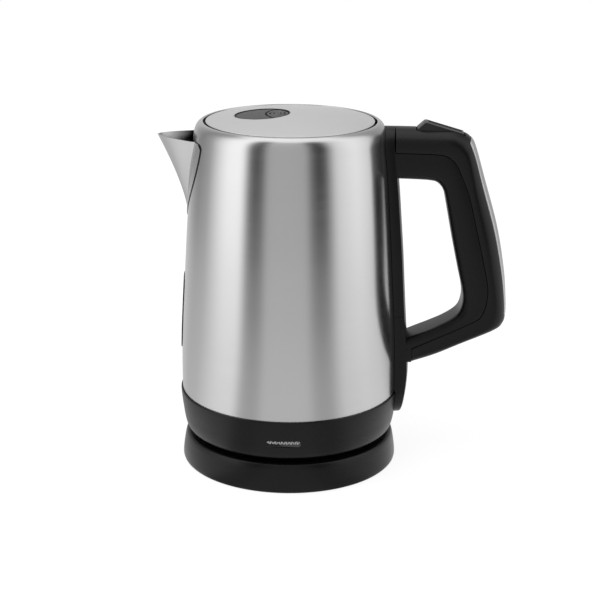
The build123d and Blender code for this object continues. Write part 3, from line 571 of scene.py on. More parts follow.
def prism(axis, outline, ends):
    """A straight prism along x or y: its (y, z) or (x, z) outline and its ends, in mm."""
    if axis == "x":
        return skinned([[(end, y, z) for y, z in outline] for end in ends])
    return skinned([[(x, end, z) for x, z in outline] for end in ends])


def facing(bm, direction):
    """Turns an open sheet over if most of it looks away from a direction."""
    if sum(face.normal.dot(Vector(direction)) for face in bm.faces) < 0:
        bmesh.ops.reverse_faces(bm, faces=bm.faces)


def soften(bm, radius, angle=40.0, segments=3):
    """Rounds every edge that is sharper than an angle."""
    edges = [e for e in bm.edges if e.is_manifold and e.calc_face_angle(0.0) > radians(angle)]
    bmesh.ops.bevel(
        bm,
        geom=edges,
        offset=radius * MM,
        offset_type="OFFSET",
        affect="EDGES",
        segments=segments,
        profile=0.5,
        material=-1,
        clamp_overlap=True,
    )
    return bm


def new_object(name, bm, material=None):
    """Turns a bmesh into an object of the scene."""
    mesh = bpy.data.meshes.new(name)
    bm.to_mesh(mesh)
    bm.free()
    if material:
        mesh.materials.append(material)
    made = bpy.data.objects.new(name, mesh)
    bpy.context.scene.collection.objects.link(made)
    return made


def finished(name, bm, material, body, replaced=(), angle=42.0):
    """Makes a bmesh a piece of the kettle: smooth but for its sharp edges, with its
    material, riding on its body, and standing for the CAD nodes that it replaces."""
    bmesh.ops.remove_doubles(bm, verts=bm.verts, dist=MERGE / 5)
    for face in bm.faces:
        face.smooth = True
    for edge in bm.edges:
        edge.smooth = edge.calc_face_angle(0.0) < radians(angle)
    piece = new_object(name, bm, MATERIALS[material])
    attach(piece, body)
    if replaced:
        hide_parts(*replaced)
    return piece


def joined(*meshes):
    """Several bmeshes as one."""
    whole = bmesh.new()
    for bm in meshes:
        part = bpy.data.meshes.new("part")
        bm.to_mesh(part)
        bm.free()
        whole.from_mesh(part)
        bpy.data.meshes.remove(part)
    return whole


def carved(bm, *cutters):
    """A closed bmesh with other closed bmeshes cut out of it."""
    objects = [new_object(f"carve_{k}", part) for k, part in enumerate((bm,) + cutters)]
    for cutter in objects[1:]:
        cut = objects[0].modifiers.new("cut", "BOOLEAN")
        cut.operation = "DIFFERENCE"
        cut.solver = "EXACT"
        cut.object = cutter
    graph = bpy.context.evaluated_depsgraph_get()
    graph.update()
    result = bmesh.new()
    result.from_object(objects[0], graph)
    for made in objects:
        mesh = made.data
        bpy.data.objects.remove(made)
        bpy.data.meshes.remove(mesh)
    return result


def copied(node_name):
    """A copy of a CAD node's mesh with its doubles merged and its flat triangles joined."""
    bm = bmesh.new()
    bm.from_mesh(frame["nodes"][node_name].data)
    bmesh.ops.remove_doubles(bm, verts=bm.verts, dist=MERGE)
    bmesh.ops.dissolve_limit(bm, angle_limit=radians(0.5), verts=bm.verts, edges=bm.edges)
    return bm


# ---- shapes that several pieces share ---------------------------------------------------
WALL_FOOT_Z = 44.0  # the steel goes down inside the lower ring
SHOULDER_Z = 229.0  # the side turns into the rolled shoulder
ROLL_Z = 238.0  # the shoulder turns over towards the mouth
# radius of the steel body against height, from its foot to the shoulder
BODY_SIDE = [
    (WALL_FOOT_Z, 75.9), (52.3, 75.9), (62.0, 75.95), (80.3, 75.8), (106.0, 74.8),
    (133.3, 73.2), (165.0, 71.3), (195.3, 69.2), (213.0, 67.8), (SHOULDER_Z, 66.0),
]
# (radius, height) points over the rolled shoulder to the rim
SHOULDER = [
    (66.0, SHOULDER_Z), (65.62, 233.0), (64.9, 236.6), (63.7, 239.4), (62.0, 241.25),
    (60.5, 242.05), (59.7, RIM_Z - 0.25),
]


def body_radius(z):
    """Outside radius of the steel body at a height, in mm."""
    if z <= SHOULDER_Z:
        return along(BODY_SIDE, z)
    return along([(height, r) for r, height in SHOULDER], z)


def body_profile():
    """The outside of the steel body as (radius, height) points from its foot to its rim."""
    side = [(body_radius(z), z) for z in levels(WALL_FOOT_Z, SHOULDER_Z, 74)[:-1]]
    return side + smooth_row(SHOULDER, 24)


def pill_points(half_width, height, z_mid, steps=16):
    """An upright pill's outline as (y, z) points."""
    straight = height / 2 - half_width
    points = []
    for first, up in ((0.0, straight), (pi, -straight)):
        for k in range(steps + 1):
            a = first + pi * k / steps
            points.append((half_width * cos(a), z_mid + up + half_width * sin(a)))
    return points


# the water window: the middle of its height, its half width and its height
WINDOW_Z = RING_Z1 + 54.0
WINDOW_HALF = 9.5
WINDOW_HEIGHT = 55.0


# ---- jug --------------------------------------------------------------------------------
class KETTLE_OT_jug_wall(bpy.types.Operator):
    """Draw the steel body of the jug"""

    bl_idname = "kettle.jug_wall"
    bl_label = "Jug wall"

    def execute(self, context):
        jug = context.scene.kettle_jug
        outside = body_profile()
        lip = [(59.3, RIM_Z - 0.38), (59.1, RIM_Z - 0.75)]
        under = [(59.1, RIM_Z - 1.8), (60.4, RIM_Z - 1.9), (62.2, 239.2), (63.6, ROLL_Z - 1.6)]
        inside = [(r - jug.sheet, z) for r, z in outside[::-1] if z < ROLL_Z]
        wall = spun(outside + lip + under + inside[1:], jug.steps, closed=True)
        pill = pill_points(WINDOW_HALF + 0.1, WINDOW_HEIGHT + 0.2, WINDOW_Z)
        window = prism("x", pill, (-85.0, -60.0))
        foot = SPOUT_TOP_Z - 36.0
        mouth = [(-17.0, 228.0), (17.0, 228.0), (4.0, foot), (-4.0, foot)]
        through = (-85.0, -50.0)
        cutters = [window, prism("x", mouth, through)]
        # two small holes above the mouth
        hole_z, hole_radius = SPOUT_TOP_Z - 1.6, 1.3
        turns = [pi * k / 12 for k in range(24)]
        for y in (-6.0, 6.0):
            hole = [(y + hole_radius * cos(a), hole_z + hole_radius * sin(a)) for a in turns]
            cutters.append(prism("x", hole, through))
        wall = carved(wall, *cutters)
        finished("jug_wall", wall, "wall_steel_painted_shade", "jug", ("body_shell",))
        return {"FINISHED"}


SPOUT_REACH = 90.55  # the spout's lip from the axis
FALL_START = 90.6  # from here the spout's rim falls towards the body
FALL_LENGTH = 24.6  # and over this length it reaches its full fall


def spout_wall_half(z, jug):
    """Half width between the spout's walls where they meet the body, at a height."""
    down = min(max(SPOUT_TOP_Z - z, 0.0) / jug.spout_length, 1.0)
    return jug.spout_half * (1 - down) ** 1.15


def spout_flange_half(z, jug, grow=0.0):
    """Half width of the spout's flange at a height, or of the strip of painted gap shade that grows
    past it.
    """
    low = SPOUT_TOP_Z - jug.spout_length - 2.0 - grow
    share = min(max((z - low) / (SPOUT_TOP_Z - low), 0.0), 1.0)
    half = (jug.flange_half + grow) * (1 - (1 - share) ** 2.2)
    corner = 3.5
    over = z - (SPOUT_TOP_Z - jug.spout_fall - corner)
    if over > 0:
        half -= corner - sqrt(max(corner**2 - over**2, 0.0))
    return half


def spout_ridge(z, jug):
    """Distance of the spout's front edge from the axis, at a height."""
    low = SPOUT_TOP_Z - jug.spout_length
    share = max(z - low, 0.0) / jug.spout_length
    foot = body_radius(low) + 0.2
    return foot + (SPOUT_REACH - foot) * share**1.42


def on_body(y, z, proud):
    """A point on the body's skin on the spout's side, standing proud of it, in mm."""
    r = body_radius(min(z, ROLL_Z)) + proud
    return (-sqrt(max(r * r - y * y, 0.0)), y, z)


def spout_row(z, jug, proud):
    """One level line of the spout from its middle to the flange's edge, in mm."""
    wall = spout_wall_half(z, jug)
    edge = spout_flange_half(z, jug)
    ridge = spout_ridge(z, jug)
    foot = -on_body(wall, z, proud)[0]
    reach = max(ridge - foot, 0.0)
    row = []
    for share in (0.0, 0.1, 0.2, 0.31, 0.43, 0.56, 0.69, 0.81, 0.92, 1.0):
        x = ridge - reach * share ** (1 / 0.6) if reach > 0.05 else foot
        y = wall * share
        limit = -on_body(y, z, proud)[0]
        row.append((-max(x, limit), y, z))
    for share in (0.12, 0.3, 0.55, 0.8, 1.0):
        row.append(on_body(wall + (edge - wall) * share, z, proud))
    return row


class KETTLE_OT_spout(bpy.types.Operator):
    """Draw the spout and the strip of painted shade in the gap round its flange"""

    bl_idname = "kettle.spout"
    bl_label = "Spout"

    def execute(self, context):
        jug = context.scene.kettle_jug
        low = SPOUT_TOP_Z - jug.spout_length - 1.9
        sections = []
        for z in levels(low, SPOUT_TOP_Z, 44):
            fall = jug.spout_fall * ((z - low) / (SPOUT_TOP_Z - low)) ** 2
            half = []
            for x, y, height in spout_row(z, jug, jug.sheet):
                share = min(max((FALL_START + x) / FALL_LENGTH, 0.0), 1.0)
                half.append((x, y, height - fall * share))
            sections.append([(x, -y, height) for x, y, height in half[:0:-1]] + half)
        sheet = skinned(sections, closed=False, capped=False)
        facing(sheet, (-1, 0, 0))
        bmesh.ops.solidify(sheet, geom=list(sheet.faces), thickness=(jug.sheet - 0.02) * MM)
        finished("spout_sheet", sheet, "spout_steel_painted_shade", "jug", ("spout",), 50.0)

        # painted shade: a thin black strip under the flange's edge, reaching 0.9 mm past it, stands
        # for the shade in the gap there
        grow = 0.9
        rows = []
        for z in levels(low - grow, SPOUT_TOP_Z - jug.spout_fall + 0.3, 60):
            edge = spout_flange_half(z, jug, grow)
            rows.append([on_body(edge * s / 14, z, 0.16) for s in range(-14, 15)])
        joint = skinned(rows, closed=False, capped=False)
        facing(joint, (-1, 0, 0))
        bmesh.ops.solidify(joint, geom=list(joint.faces), thickness=0.1 * MM)
        # no painted gap shade across the opening behind the spout
        centres = [(face, face.calc_center_median()) for face in joint.faces]
        open_half, open_foot = 16 * MM, 190 * MM
        middle = [face for face, at in centres if abs(at.y) < open_half and at.z > open_foot]
        bmesh.ops.delete(joint, geom=middle, context="FACES")
        finished("spout_gap_shade", joint, "black_seal_and_gap_shade", "jug")
        return {"FINISHED"}


# ---- lid --------------------------------------------------------------------------------
DISC_X = -19.0  # the middle of the insert
HOLE_GAP = 0.45  # between the insert and the steel round it
PAD_X = 7.0  # the pad lies in the insert, inside a circle round this place
PAD_RADIUS = 22.6
SUNK = 0.35  # how far the insert and the pad lie below the dome


def dome(x, y, jug, drop=0.0):
    """Height of the lid's domed top at a place, in mm."""
    rim, crown = RIM_Z - 0.3, LID_TOP_Z - 0.2
    return rim + (crown - rim) * (1 - (hypot(x, y) / jug.lid_radius) ** 2) - drop


def on_pad(x, y, jug):
    """Whether a place lies on the push pad, a millimetre in from its edge."""
    inside_insert = hypot(x - DISC_X, y) < jug.insert_radius - 1.3
    return inside_insert and hypot(x - PAD_X, y) < PAD_RADIUS


def dressed_copy(name, node_name, material, body):
    """A copy of a CAD node with its sharp edges rounded."""
    bm = soften(copied(node_name), 0.25, 35.0)
    return finished(name, bm, material, body, (node_name,), 50.0)


class KETTLE_OT_lid(bpy.types.Operator):
    """Draw the lid's steel top, its insert and its push pad"""

    bl_idname = "kettle.lid"
    bl_label = "Lid"

    def ring(self, name, jug, profile, material, slot):
        """A ring round the insert: (distance out from its hole, height above the dome)."""
        hole = jug.insert_radius + HOLE_GAP
        bm = spun([(hole + out, up) for out, up in profile], 120, closed=True)
        for vert in bm.verts:
            vert.co.x += DISC_X * MM
            vert.co.z += dome(vert.co.x / MM, vert.co.y / MM, jug) * MM
        finished(name, bm, material, "lid")

    def top(self, jug, steps):
        """The domed sheet with its rolled edge and the hole for the insert."""
        bm = bmesh.new()
        hole = jug.insert_radius + HOLE_GAP
        middle = Vector((DISC_X * MM, 0))
        rolled = 0.45
        bmesh.ops.create_circle(bm, segments=steps, radius=hole * MM)
        bmesh.ops.translate(bm, verts=bm.verts, vec=(DISC_X * MM, 0, 0))
        bmesh.ops.create_circle(bm, segments=steps, radius=(jug.lid_radius - rolled) * MM)
        bmesh.ops.bridge_loops(bm, edges=list(bm.edges))
        across = [edge for edge in bm.edges if not edge.is_boundary]
        bmesh.ops.subdivide_edges(bm, edges=across, cuts=26, use_grid_fill=True)
        for vert in bm.verts:
            vert.co.z = dome(vert.co.x / MM, vert.co.y / MM, jug) * MM

        def rolled_down(vert, out, down):
            """Further out from the axis, and lower."""
            flat = vert.co.xy.normalized() * (vert.co.xy.length + out * MM)
            return Vector((flat.x, flat.y, vert.co.z - down * MM))

        def turned_in(vert, inward, down):
            """Nearer to the middle of the hole, and lower."""
            flat = middle + (vert.co.xy - middle) * (1 - inward / hole)
            return Vector((flat.x, flat.y, vert.co.z - down * MM))

        # the rim is further out than the hole's edge
        rim = [e for e in bm.edges if e.is_boundary and e.verts[0].co.xy.length > 50 * MM]
        for out, down in ((0.2, 0.06), (0.1, 0.12), (0.0, 0.2), (-0.5, 0.05)):
            rim = pulled(bm, rim, lambda vert: rolled_down(vert, out, down))
        # the hole's edge is higher than the rim
        lip = [e for e in bm.edges if e.is_boundary and e.verts[0].co.z > (RIM_Z + 2.0) * MM]
        for inward, down in ((0.16, 0.06), (0.1, 0.2), (0.0, 0.5)):
            lip = pulled(bm, lip, lambda vert: turned_in(vert, inward, down))
        bmesh.ops.recalc_face_normals(bm, faces=bm.faces)
        facing(bm, (0, 0, 1))
        bmesh.ops.solidify(bm, geom=list(bm.faces), thickness=0.5 * MM)
        return bm

    def ridges(self, jug):
        """The pad's relief: parts of rings round one middle, where they lie on the pad."""
        middle = -8.6
        half, crest = 0.45, 0.35
        ridges = []
        for radius in (1.4, 4.0, 6.6, 9.2, 11.8, 14.4):
            # the stretch of the ring in the first half turn that lies on the pad
            turns = [(degrees, radians(degrees)) for degrees in range(0, 181, 3)]
            inside = [
                degrees
                for degrees, a in turns
                if on_pad(middle + radius * cos(a), radius * sin(a), jug)
            ]
            if len(inside) < 3:
                continue
            start, turn = radians(inside[0]), radians(inside[-1] - inside[0])
            profile = [
                (radius - half, -0.3), (radius - crest, 0.16), (radius, 0.22),
                (radius + crest, 0.16), (radius + half, -0.3),
            ]
            to_start = Matrix.Rotation(start, 3, "Z")
            for flip in (1, -1):
                arc = spun(profile, max(len(inside) - 1, 4), closed=True, turn=turn)
                ends = [edge for edge in arc.edges if edge.is_boundary]
                bmesh.ops.holes_fill(arc, edges=ends, sides=8)
                bmesh.ops.rotate(arc, verts=arc.verts, cent=(0, 0, 0), matrix=to_start)
                for vert in arc.verts:
                    vert.co.x += middle * MM
                    vert.co.y *= flip
                    vert.co.z += dome(vert.co.x / MM, vert.co.y / MM, jug, SUNK + 0.03) * MM
                bmesh.ops.recalc_face_normals(arc, faces=arc.faces)
                ridges.append(arc)
        return joined(*ridges)

    def execute(self, context):
        jug = context.scene.kettle_jug
        steps = 160
        finished("lid_top", self.top(jug, steps), "lid_steel", "lid", ("lid_cover",), angle=50.0)

        # painted shade: a black ring under the steel top's edge, where the lid frame's rim lies,
        # darkens the gap round the lid
        edge = [
            (56.4, RIM_Z - 0.62), (57.1, RIM_Z - 0.52), (57.45, RIM_Z - 0.56),
            (57.55, RIM_Z - 0.7), (57.55, RIM_Z - 2.2), (56.4, RIM_Z - 2.2),
        ]
        edge = spun(edge, steps, closed=True)
        finished("lid_edge", edge, "black_seal_and_gap_shade", "lid")

        insert = dressed_copy("insert_ring", "button_bezel", "grey_plastic", "lid")
        pad = dressed_copy("push_pad", "lid_button", "pad_plastic", "lid_button")
        for piece in (insert, pad):
            for vert in piece.data.vertices:
                if vert.co.z > (RIM_Z + 1.5) * MM:
                    vert.co.z -= SUNK * MM
        # painted shade: a black ring in the gap round the insert darkens it, and is drawn as a seal
        line = (
            (-1.05, -0.5), (-1.05, 0.0), (-0.9, 0.1), (-0.1, 0.1), (0.0, -0.1), (0.0, -0.5),
        )
        self.ring("insert_line", jug, line, "black_seal_and_gap_shade", "black_fittings")
        bead = ((0.12, -0.2), (0.16, 0.1), (0.4, 0.17), (0.66, 0.1), (0.8, -0.2))
        self.ring("insert_bead", jug, bead, "trim_steel", "lid_steel")

        ridges = self.ridges(jug)
        finished("pad_ridges", ridges, "ridge_plastic", "lid_button")
        return {"FINISHED"}


# ---- springs ----------------------------------------------------------------------------
class KETTLE_OT_springs(bpy.types.Operator):
    """Draw the lid's two springs from copies of their CAD nodes"""

    bl_idname = "kettle.springs"
    bl_label = "Springs in the lid"

    def execute(self, context):
        bolt_travel = 2.5 * MM
        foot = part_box("button_spring")[0]
        low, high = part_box("latch_spring")
        bolt_left = 1 - bolt_travel / (high.x - low.x)
        # name, CAD node, joint, direction, the end that stays, share of the length left
        springs = (
            ("pad_spring", "button_spring", "button_press", (0, 0, 1), foot, 0.3),
            ("bolt_spring", "latch_spring", "latch_slide", (1, 0, 0), high, bolt_left),
        )
        for name, node_name, joint, axis, seat, left in springs:
            bm = bmesh.new()
            bm.from_mesh(frame["nodes"][node_name].data)
            coil = finished(name, bm, "plated_steel", "lid", (node_name,), angle=60.0)
            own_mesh(coil)
        return {"FINISHED"}


# ---- rings ------------------------------------------------------------------------------
# radius of the lower ring's side and of the base's side against height
RING_SIDE = [
    (24.3, 71.95), (25.2, 72.7), (26.4, 73.3), (31.0, 74.5), (37.3, 75.45),
    (43.5, 76.3), (49.6, 76.9), (51.6, 76.98),
]
BASE_SIDE = [
    (0.3, 75.2), (0.9, 75.75), (3.0, 75.98), (5.8, 75.75), (10.0, 75.2),
    (13.0, 74.7), (16.8, 74.0), (19.0, 73.35),
]


def side_points(side, low, high, count):
    """Points of an outline up a side that is given as radius against height."""
    return [(along(side, z), z) for z in levels(low, high, count)]


class KETTLE_OT_rings(bpy.types.Operator):
    """Draw the jug's lower ring, its indicator and the power base"""

    bl_idname = "kettle.rings"
    bl_label = "Lower ring and base"

    def execute(self, context):
        steps = context.scene.kettle_jug.steps
        profile = [(69.0, RING_Z0), (71.1, RING_Z0)]
        profile += side_points(RING_SIDE, 24.2, 51.6, 36)
        # the top edge, then the inside
        profile += [
            (76.85, 52.05), (76.55, RING_Z1), (76.2, RING_Z1 - 0.05), (76.05, 51.9),
            (76.05, 46.0), (73.2, 43.0), (72.0, 30.0), (69.2, 26.6),
        ]
        ring = spun(profile, steps, closed=True)
        low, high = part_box("indicator_board")
        lens_x = (low.x + high.x) / 2 / MM - 1.2
        lens_z = RING_Z0 + 12.2
        recess = prism("y", self.pill(2.4, 24.6, lens_x, lens_z), (-80.0, -74.2))
        finished("ring_wall", carved(ring, recess), "black_plastic", "jug", ("lower_ring",))
        self.indicator(lens_x, lens_z)

        top = top_of("base_cover") - 1.2
        profile = [(73.0, 0.3)]
        profile += side_points(BASE_SIDE, 0.3, 19.0, 28)
        # the rounded edge, the flat top, the raised ring round the connector, the inside
        profile += [
            (73.0, 19.65), (72.4, 20.05), (71.6, top), (60.0, top),
            (17.1, top), (16.6, top + 0.4), (16.5, top + 0.9), (16.2, top + 1.2),
            (14.8, top + 1.2), (14.5, top + 0.9), (14.5, top), (11.4, top), (11.2, top - 0.3),
            (11.2, top - 2.2), (70.9, top - 2.2), (73.4, 10.0), (73.6, 3.0),
        ]
        base = spun(profile, steps, closed=True)
        finished("base_top", base, "black_plastic", "base", ("base_cover",))
        return {"FINISHED"}

    def pill(self, half_width, length, x, z):
        """A level pill's outline round a place, as (x, z) points."""
        return [(x + along_x, z + up) for up, along_x in pill_points(half_width, length, 0.0)]

    def indicator(self, lens_x, lens_z):
        """The indicator's lens and the prisms of its light guide, bent to the ring."""

        def bent(outline, depths):
            """A piece with an (x, z) outline between two depths behind the ring's face."""
            radius = along(RING_SIDE, lens_z)
            return skinned(
                [[(x, depth - sqrt(radius**2 - x * x), z) for x, z in outline] for depth in depths]
            )

        lens = soften(bent(self.pill(2.25, 24.3, lens_x, lens_z), (0.25, 1.3)), 0.2)
        finished(
            "indicator_window", lens, "smoked_lens", "jug", ("indicator_lens",)
        )
        prisms = []
        for k in range(-9, 10):
            x = lens_x + k * 1.19
            # they lean by turns, and their heights go round in threes
            lean = 0.28 if k % 2 else -0.2
            height = 0.75 + 0.4 * ((k * 7) % 3) / 2
            high, low = lens_z + 0.7 + height, lens_z + 0.9 - height
            outline = [
                (x - 0.36 + lean, high), (x + 0.36 + lean, high),
                (x + 0.3 - lean, low), (x - 0.3 - lean, low),
            ]
            prisms.append(soften(bent(outline, (0.12, 0.5)), 0.08))
        finished("indicator_prisms", joined(*prisms), "prism_lens", "jug")


# ---- handle -----------------------------------------------------------------------------
# pairs of points in the plane of symmetry: on the seam, then on the outside, with the share
# of the full rounding that the back has there
COVER_STATIONS = [
    (71.5, 223.35, 71.5, 238.75, 1.0), (80.0, 223.2, 80.0, 238.65, 1.0),
    (90.0, 223.0, 91.0, 238.5, 1.0), (97.4, 222.75, 103.0, 238.25, 1.0),
    (104.4, 222.0, 112.0, 237.4, 1.0), (109.3, 219.4, 118.8, 234.9, 1.0),
    (113.0, 215.3, 122.8, 231.7, 1.0), (116.4, 208.0, 126.2, 225.3, 1.0),
    (122.4, 192.8, 132.9, 203.0, 1.0), (129.1, 166.0, 142.6, 170.0, 1.0),
    (134.9, 141.5, 148.3, 141.0, 1.0), (137.3, 127.9, 150.5, 121.5, 1.0),
    (136.5, 117.0, 151.0, 108.5, 0.95), (132.9, 107.8, 149.6, 102.0, 0.85),
    (124.0, 102.2, 143.5, 97.0, 0.7), (104.3, 92.7, 120.5, 87.3, 0.5),
    (94.4, 88.0, 102.5, 79.3, 0.42), (85.9, 84.0, 86.0, 73.6, 0.4),
]
# pairs of points in that plane: on the seam, then on the finger hole's edge
FRAME_STATIONS = [
    (70.0, 223.05, 70.0, 204.9), (80.0, 222.9, 80.0, 204.6), (90.0, 222.7, 89.0, 204.3),
    (97.3, 222.45, 95.0, 203.9), (104.2, 221.7, 99.6, 202.9), (109.1, 219.1, 102.9, 200.0),
    (112.7, 215.0, 105.1, 195.6), (116.1, 207.8, 106.6, 189.0), (122.1, 192.6, 109.0, 177.0),
    (128.8, 165.8, 112.6, 159.0), (134.6, 141.4, 117.3, 137.5), (137.0, 127.9, 119.8, 126.5),
    (136.2, 117.2, 120.3, 118.0), (132.7, 108.1, 117.9, 110.2), (123.9, 102.5, 111.6, 104.6),
    (104.2, 93.0, 99.5, 98.2), (94.2, 88.3, 91.0, 94.6), (84.0, 83.6, 83.0, 91.3),
    (79.0, 81.5, 79.0, 89.8),
]
# outside of the upright bar and the strap below it: height and distance from the axis
BAR_SIDE = [
    (32.9, 76.6), (34.0, 78.0), (36.0, 79.4), (40.0, 81.0), (46.0, 82.3), (65.0, 84.1),
    (84.0, 83.4), (100.0, 82.2), (128.0, 80.4), (151.0, 79.0), (174.0, 77.2), (196.0, 75.4),
    (223.0, 72.7), (238.8, 71.3),
]
# the lower ring's side where the strap lies on it, up to its top edge
BAR_BED = [
    (24.3, 71.95), (26.4, 73.3), (31.0, 74.5), (37.3, 75.45), (43.5, 76.3), (49.6, 76.9),
    (52.3, 77.0),
]
BAR_GAP = 0.15  # between the bar and the jug
BAR_CORNER = 14.5  # radius of the bar's upper corners
STRAP_FOOT_Z = 33.0
STRAP_TOP_Z = 108.0
BAR_FOOT_Z = STRAP_TOP_Z + 0.15


def outer_section(station, handle):
    """One ring of the cover: flat on the seam, straight sides, a rounded back."""
    in_x, in_z, out_x, out_z, share = station
    depth = hypot(out_x - in_x, out_z - in_z)
    ux, uz = (out_x - in_x) / depth, (out_z - in_z) / depth
    fall = min(share * handle.back_round, depth - 0.6)
    half = handle.half_width
    # where the back falls away less, it also turns down nearer to the sides
    flat = half * (1 - fall / handle.back_round)
    ring = []
    for k in range(21):
        a = -pi / 2 + pi * k / 20
        y = (half - flat) * sin(a) + (flat if a > 0 else -flat if a < 0 else 0.0)
        u = depth - fall * (1 - cos(a))
        ring.append((in_x + ux * u, y, in_z + uz * u))
    ring += [(in_x, y, in_z) for y in (half, half / 2, -half / 2, -half)]
    return ring


def inner_section(station, handle):
    """One ring of the frame: flat on the seam, straight sides, rounded finger edges."""
    in_x, in_z, out_x, out_z = station
    depth = hypot(out_x - in_x, out_z - in_z)
    ux, uz = (out_x - in_x) / depth, (out_z - in_z) / depth
    half, r = handle.half_width, min(handle.finger_round, depth * 0.7)
    ring = []
    for k in range(9):
        a = pi / 2 * k / 8
        ring.append((depth - r + r * sin(a), -half + r - r * cos(a)))
    for k in range(9):
        a = pi / 2 * k / 8
        ring.append((depth - r + r * cos(a), half - r + r * sin(a)))
    # a tongue in the middle reaches into the cover, so that the seam shows as a fine line
    seam, tongue, side = 0.15, -0.6, half - 1.3
    ring += [(seam, half), (seam, side), (tongue, side)]
    ring += [(tongue, -side), (seam, -side), (seam, -half)]
    return [(in_x + ux * u, y, in_z + uz * u) for u, y in ring]


def skin_radius(z):
    """What the bar lies on: the steel body, or the lower ring below it."""
    return (along(BAR_BED, z) if z < RING_Z1 else body_radius(z)) + BAR_GAP


def bar_section(z, handle):
    """One level ring of the bar: it lies on the jug and has a curved outside."""
    half = handle.bar_half
    top, low = ARM_TOP_Z - BAR_CORNER, STRAP_FOOT_Z + half
    if z > top:
        half = half - BAR_CORNER + sqrt(max(BAR_CORNER**2 - (z - top) ** 2, 0.01))
    if z < low:
        half = sqrt(max(half**2 - (low - z) ** 2, 0.25))
    near = skin_radius(z)
    far = max(along(BAR_SIDE, z), near + 0.6)
    # the bar narrows towards its outside, a little more in the strap's round foot
    narrowing = 0.93 if z >= low else 0.9
    ring = []
    for k in range(13):
        y = half * narrowing * (1 - 2 * k / 12)
        ring.append((sqrt(far * far - y * y), y, z))
    for k in range(11):
        y = -half * (1 - 2 * k / 10)
        ring.append((sqrt(near * near - y * y), y, z))
    return ring


def trim_strip(handle, grow, depth, proud):
    """The strip on the back of the handle, standing proud of the cover's surface."""
    foot, head = 107.4 - grow, 232.2 + grow
    back_x = 118.0
    stations = smooth_row(COVER_STATIONS, 220)
    stations = [s for s in stations if foot < s[3] < head and s[2] > back_x]
    count = len(stations)
    sections = []
    for k, (in_x, in_z, out_x, out_z, _) in enumerate(stations):
        length = hypot(out_x - in_x, out_z - in_z)
        ux, uz = (out_x - in_x) / length, (out_z - in_z) / length
        # it narrows towards its foot, and its head is rounded over the first 5 mm
        down = min(stations[0][3] - out_z, 5.0) / 5.0
        rounded = 0.72 + 0.28 * sqrt(1 - (1 - down) ** 2)
        half = (11.5 - 4.0 * k / (count - 1)) * rounded + grow
        ring = []
        for side, rise in ((1, proud), (-1, -depth)):
            for j in range(13):
                y = side * half * (-1 + 2 * j / 12)
                drop = handle.back_round * (1 - sqrt(max(1 - (y / handle.half_width) ** 2, 0.0)))
                ring.append((out_x + ux * (rise - drop), y, out_z + uz * (rise - drop)))
        sections.append(ring)
    return skinned(sections)


class KETTLE_OT_handle(bpy.types.Operator):
    """Draw the handle: cover, frame, upright bar and strap"""

    bl_idname = "kettle.handle"
    bl_label = "Handle"

    def execute(self, context):
        handle = context.scene.kettle_handle
        cover = skinned([outer_section(s, handle) for s in smooth_row(COVER_STATIONS, 110)])
        soften(cover, 0.35, 50.0)
        low, high = (Vector(c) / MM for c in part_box("rocker"))
        front, back = low.x - 0.8, high.x + 0.6
        foot, head = ARM_TOP_Z - 9, ARM_TOP_Z + 9
        well = [(front, foot), (back, foot), (back, head), (front, head)]
        well = prism("y", well, (-6.9, 6.9))
        recess = trim_strip(handle, 0.3, 1.6, 3.0)
        cover = carved(cover, well, recess)
        finished("grip_cover", cover, "black_plastic", "jug", ("handle_cover",))

        strip = soften(trim_strip(handle, 0.0, 0.9, 0.38), 0.2, 50.0)
        finished("grip_strip", strip, "trim_steel", "jug", ("handle_trim",))

        arms = skinned([inner_section(s, handle) for s in smooth_row(FRAME_STATIONS, 110)])
        soften(arms, 0.35, 50.0)
        finished("grip_frame", arms, "black_plastic", "jug", ("handle_frame",))
        heights = levels(BAR_FOOT_Z, ARM_TOP_Z, 70)
        bar = soften(skinned([bar_section(z, handle) for z in heights]), 1.3, 45.0, 4)
        finished("upright_bar", bar, "black_plastic", "jug")

        # closer rows at the foot, where the strap is round
        strap_length = STRAP_TOP_Z - STRAP_FOOT_Z
        heights = [STRAP_FOOT_Z + strap_length * (k / 60) ** 1.3 for k in range(61)]
        strap = soften(skinned([bar_section(z, handle) for z in heights]), 1.3, 45.0, 4)
        sections = []
        for x in (79.5, 85.88):
            top = 83.4 + 0.2 * (x - 80)
            side = [(15.0, top), (15.0, 76.5), (14.0, 74.2), (11.5, 73.4)]
            sections.append([(x, -y, z) for y, z in side] + [(x, y, z) for y, z in side[::-1]])
        stub = soften(skinned(sections), 0.3, 50.0)
        finished("foot_strap", joined(strap, stub), "black_plastic", "jug", ("handle_strap",))
        return {"FINISHED"}


class KETTLE_OT_rocker(bpy.types.Operator):
    """Draw the rocker of the switch"""

    bl_idname = "kettle.rocker"
    bl_label = "Rocker"

    def execute(self, context):
        bm = soften(copied("rocker"), 0.6, 35.0)
        # its top has a flat border round a shallow dish
        top = [f for f in bm.faces if f.normal.z > 0.9 and f.calc_area() > 100 * MM**2]
        bmesh.ops.inset_region(bm, faces=top, thickness=1.0 * MM, depth=0.0)
        bmesh.ops.inset_region(bm, faces=top, thickness=0.8 * MM, depth=-0.7 * MM)
        finished("rocker_key", bm, "rocker_plastic", "rocker", ("rocker",))
        return {"FINISHED"}


# ---- carried-over nodes -----------------------------------------------------------------
class KETTLE_OT_finishes(bpy.types.Operator):
    """Give every CAD node that still shows its material"""

    bl_idname = "kettle.finishes"
    bl_label = "Finishes of the other nodes"

    def execute(self, context):
        for part in frame["record"]["subparts"]:
            shown = frame["nodes"][part["node"]]
            shown.data.materials.clear()
            shown.data.materials.append(MATERIALS[part["material_slot"]])
        return {"FINISHED"}


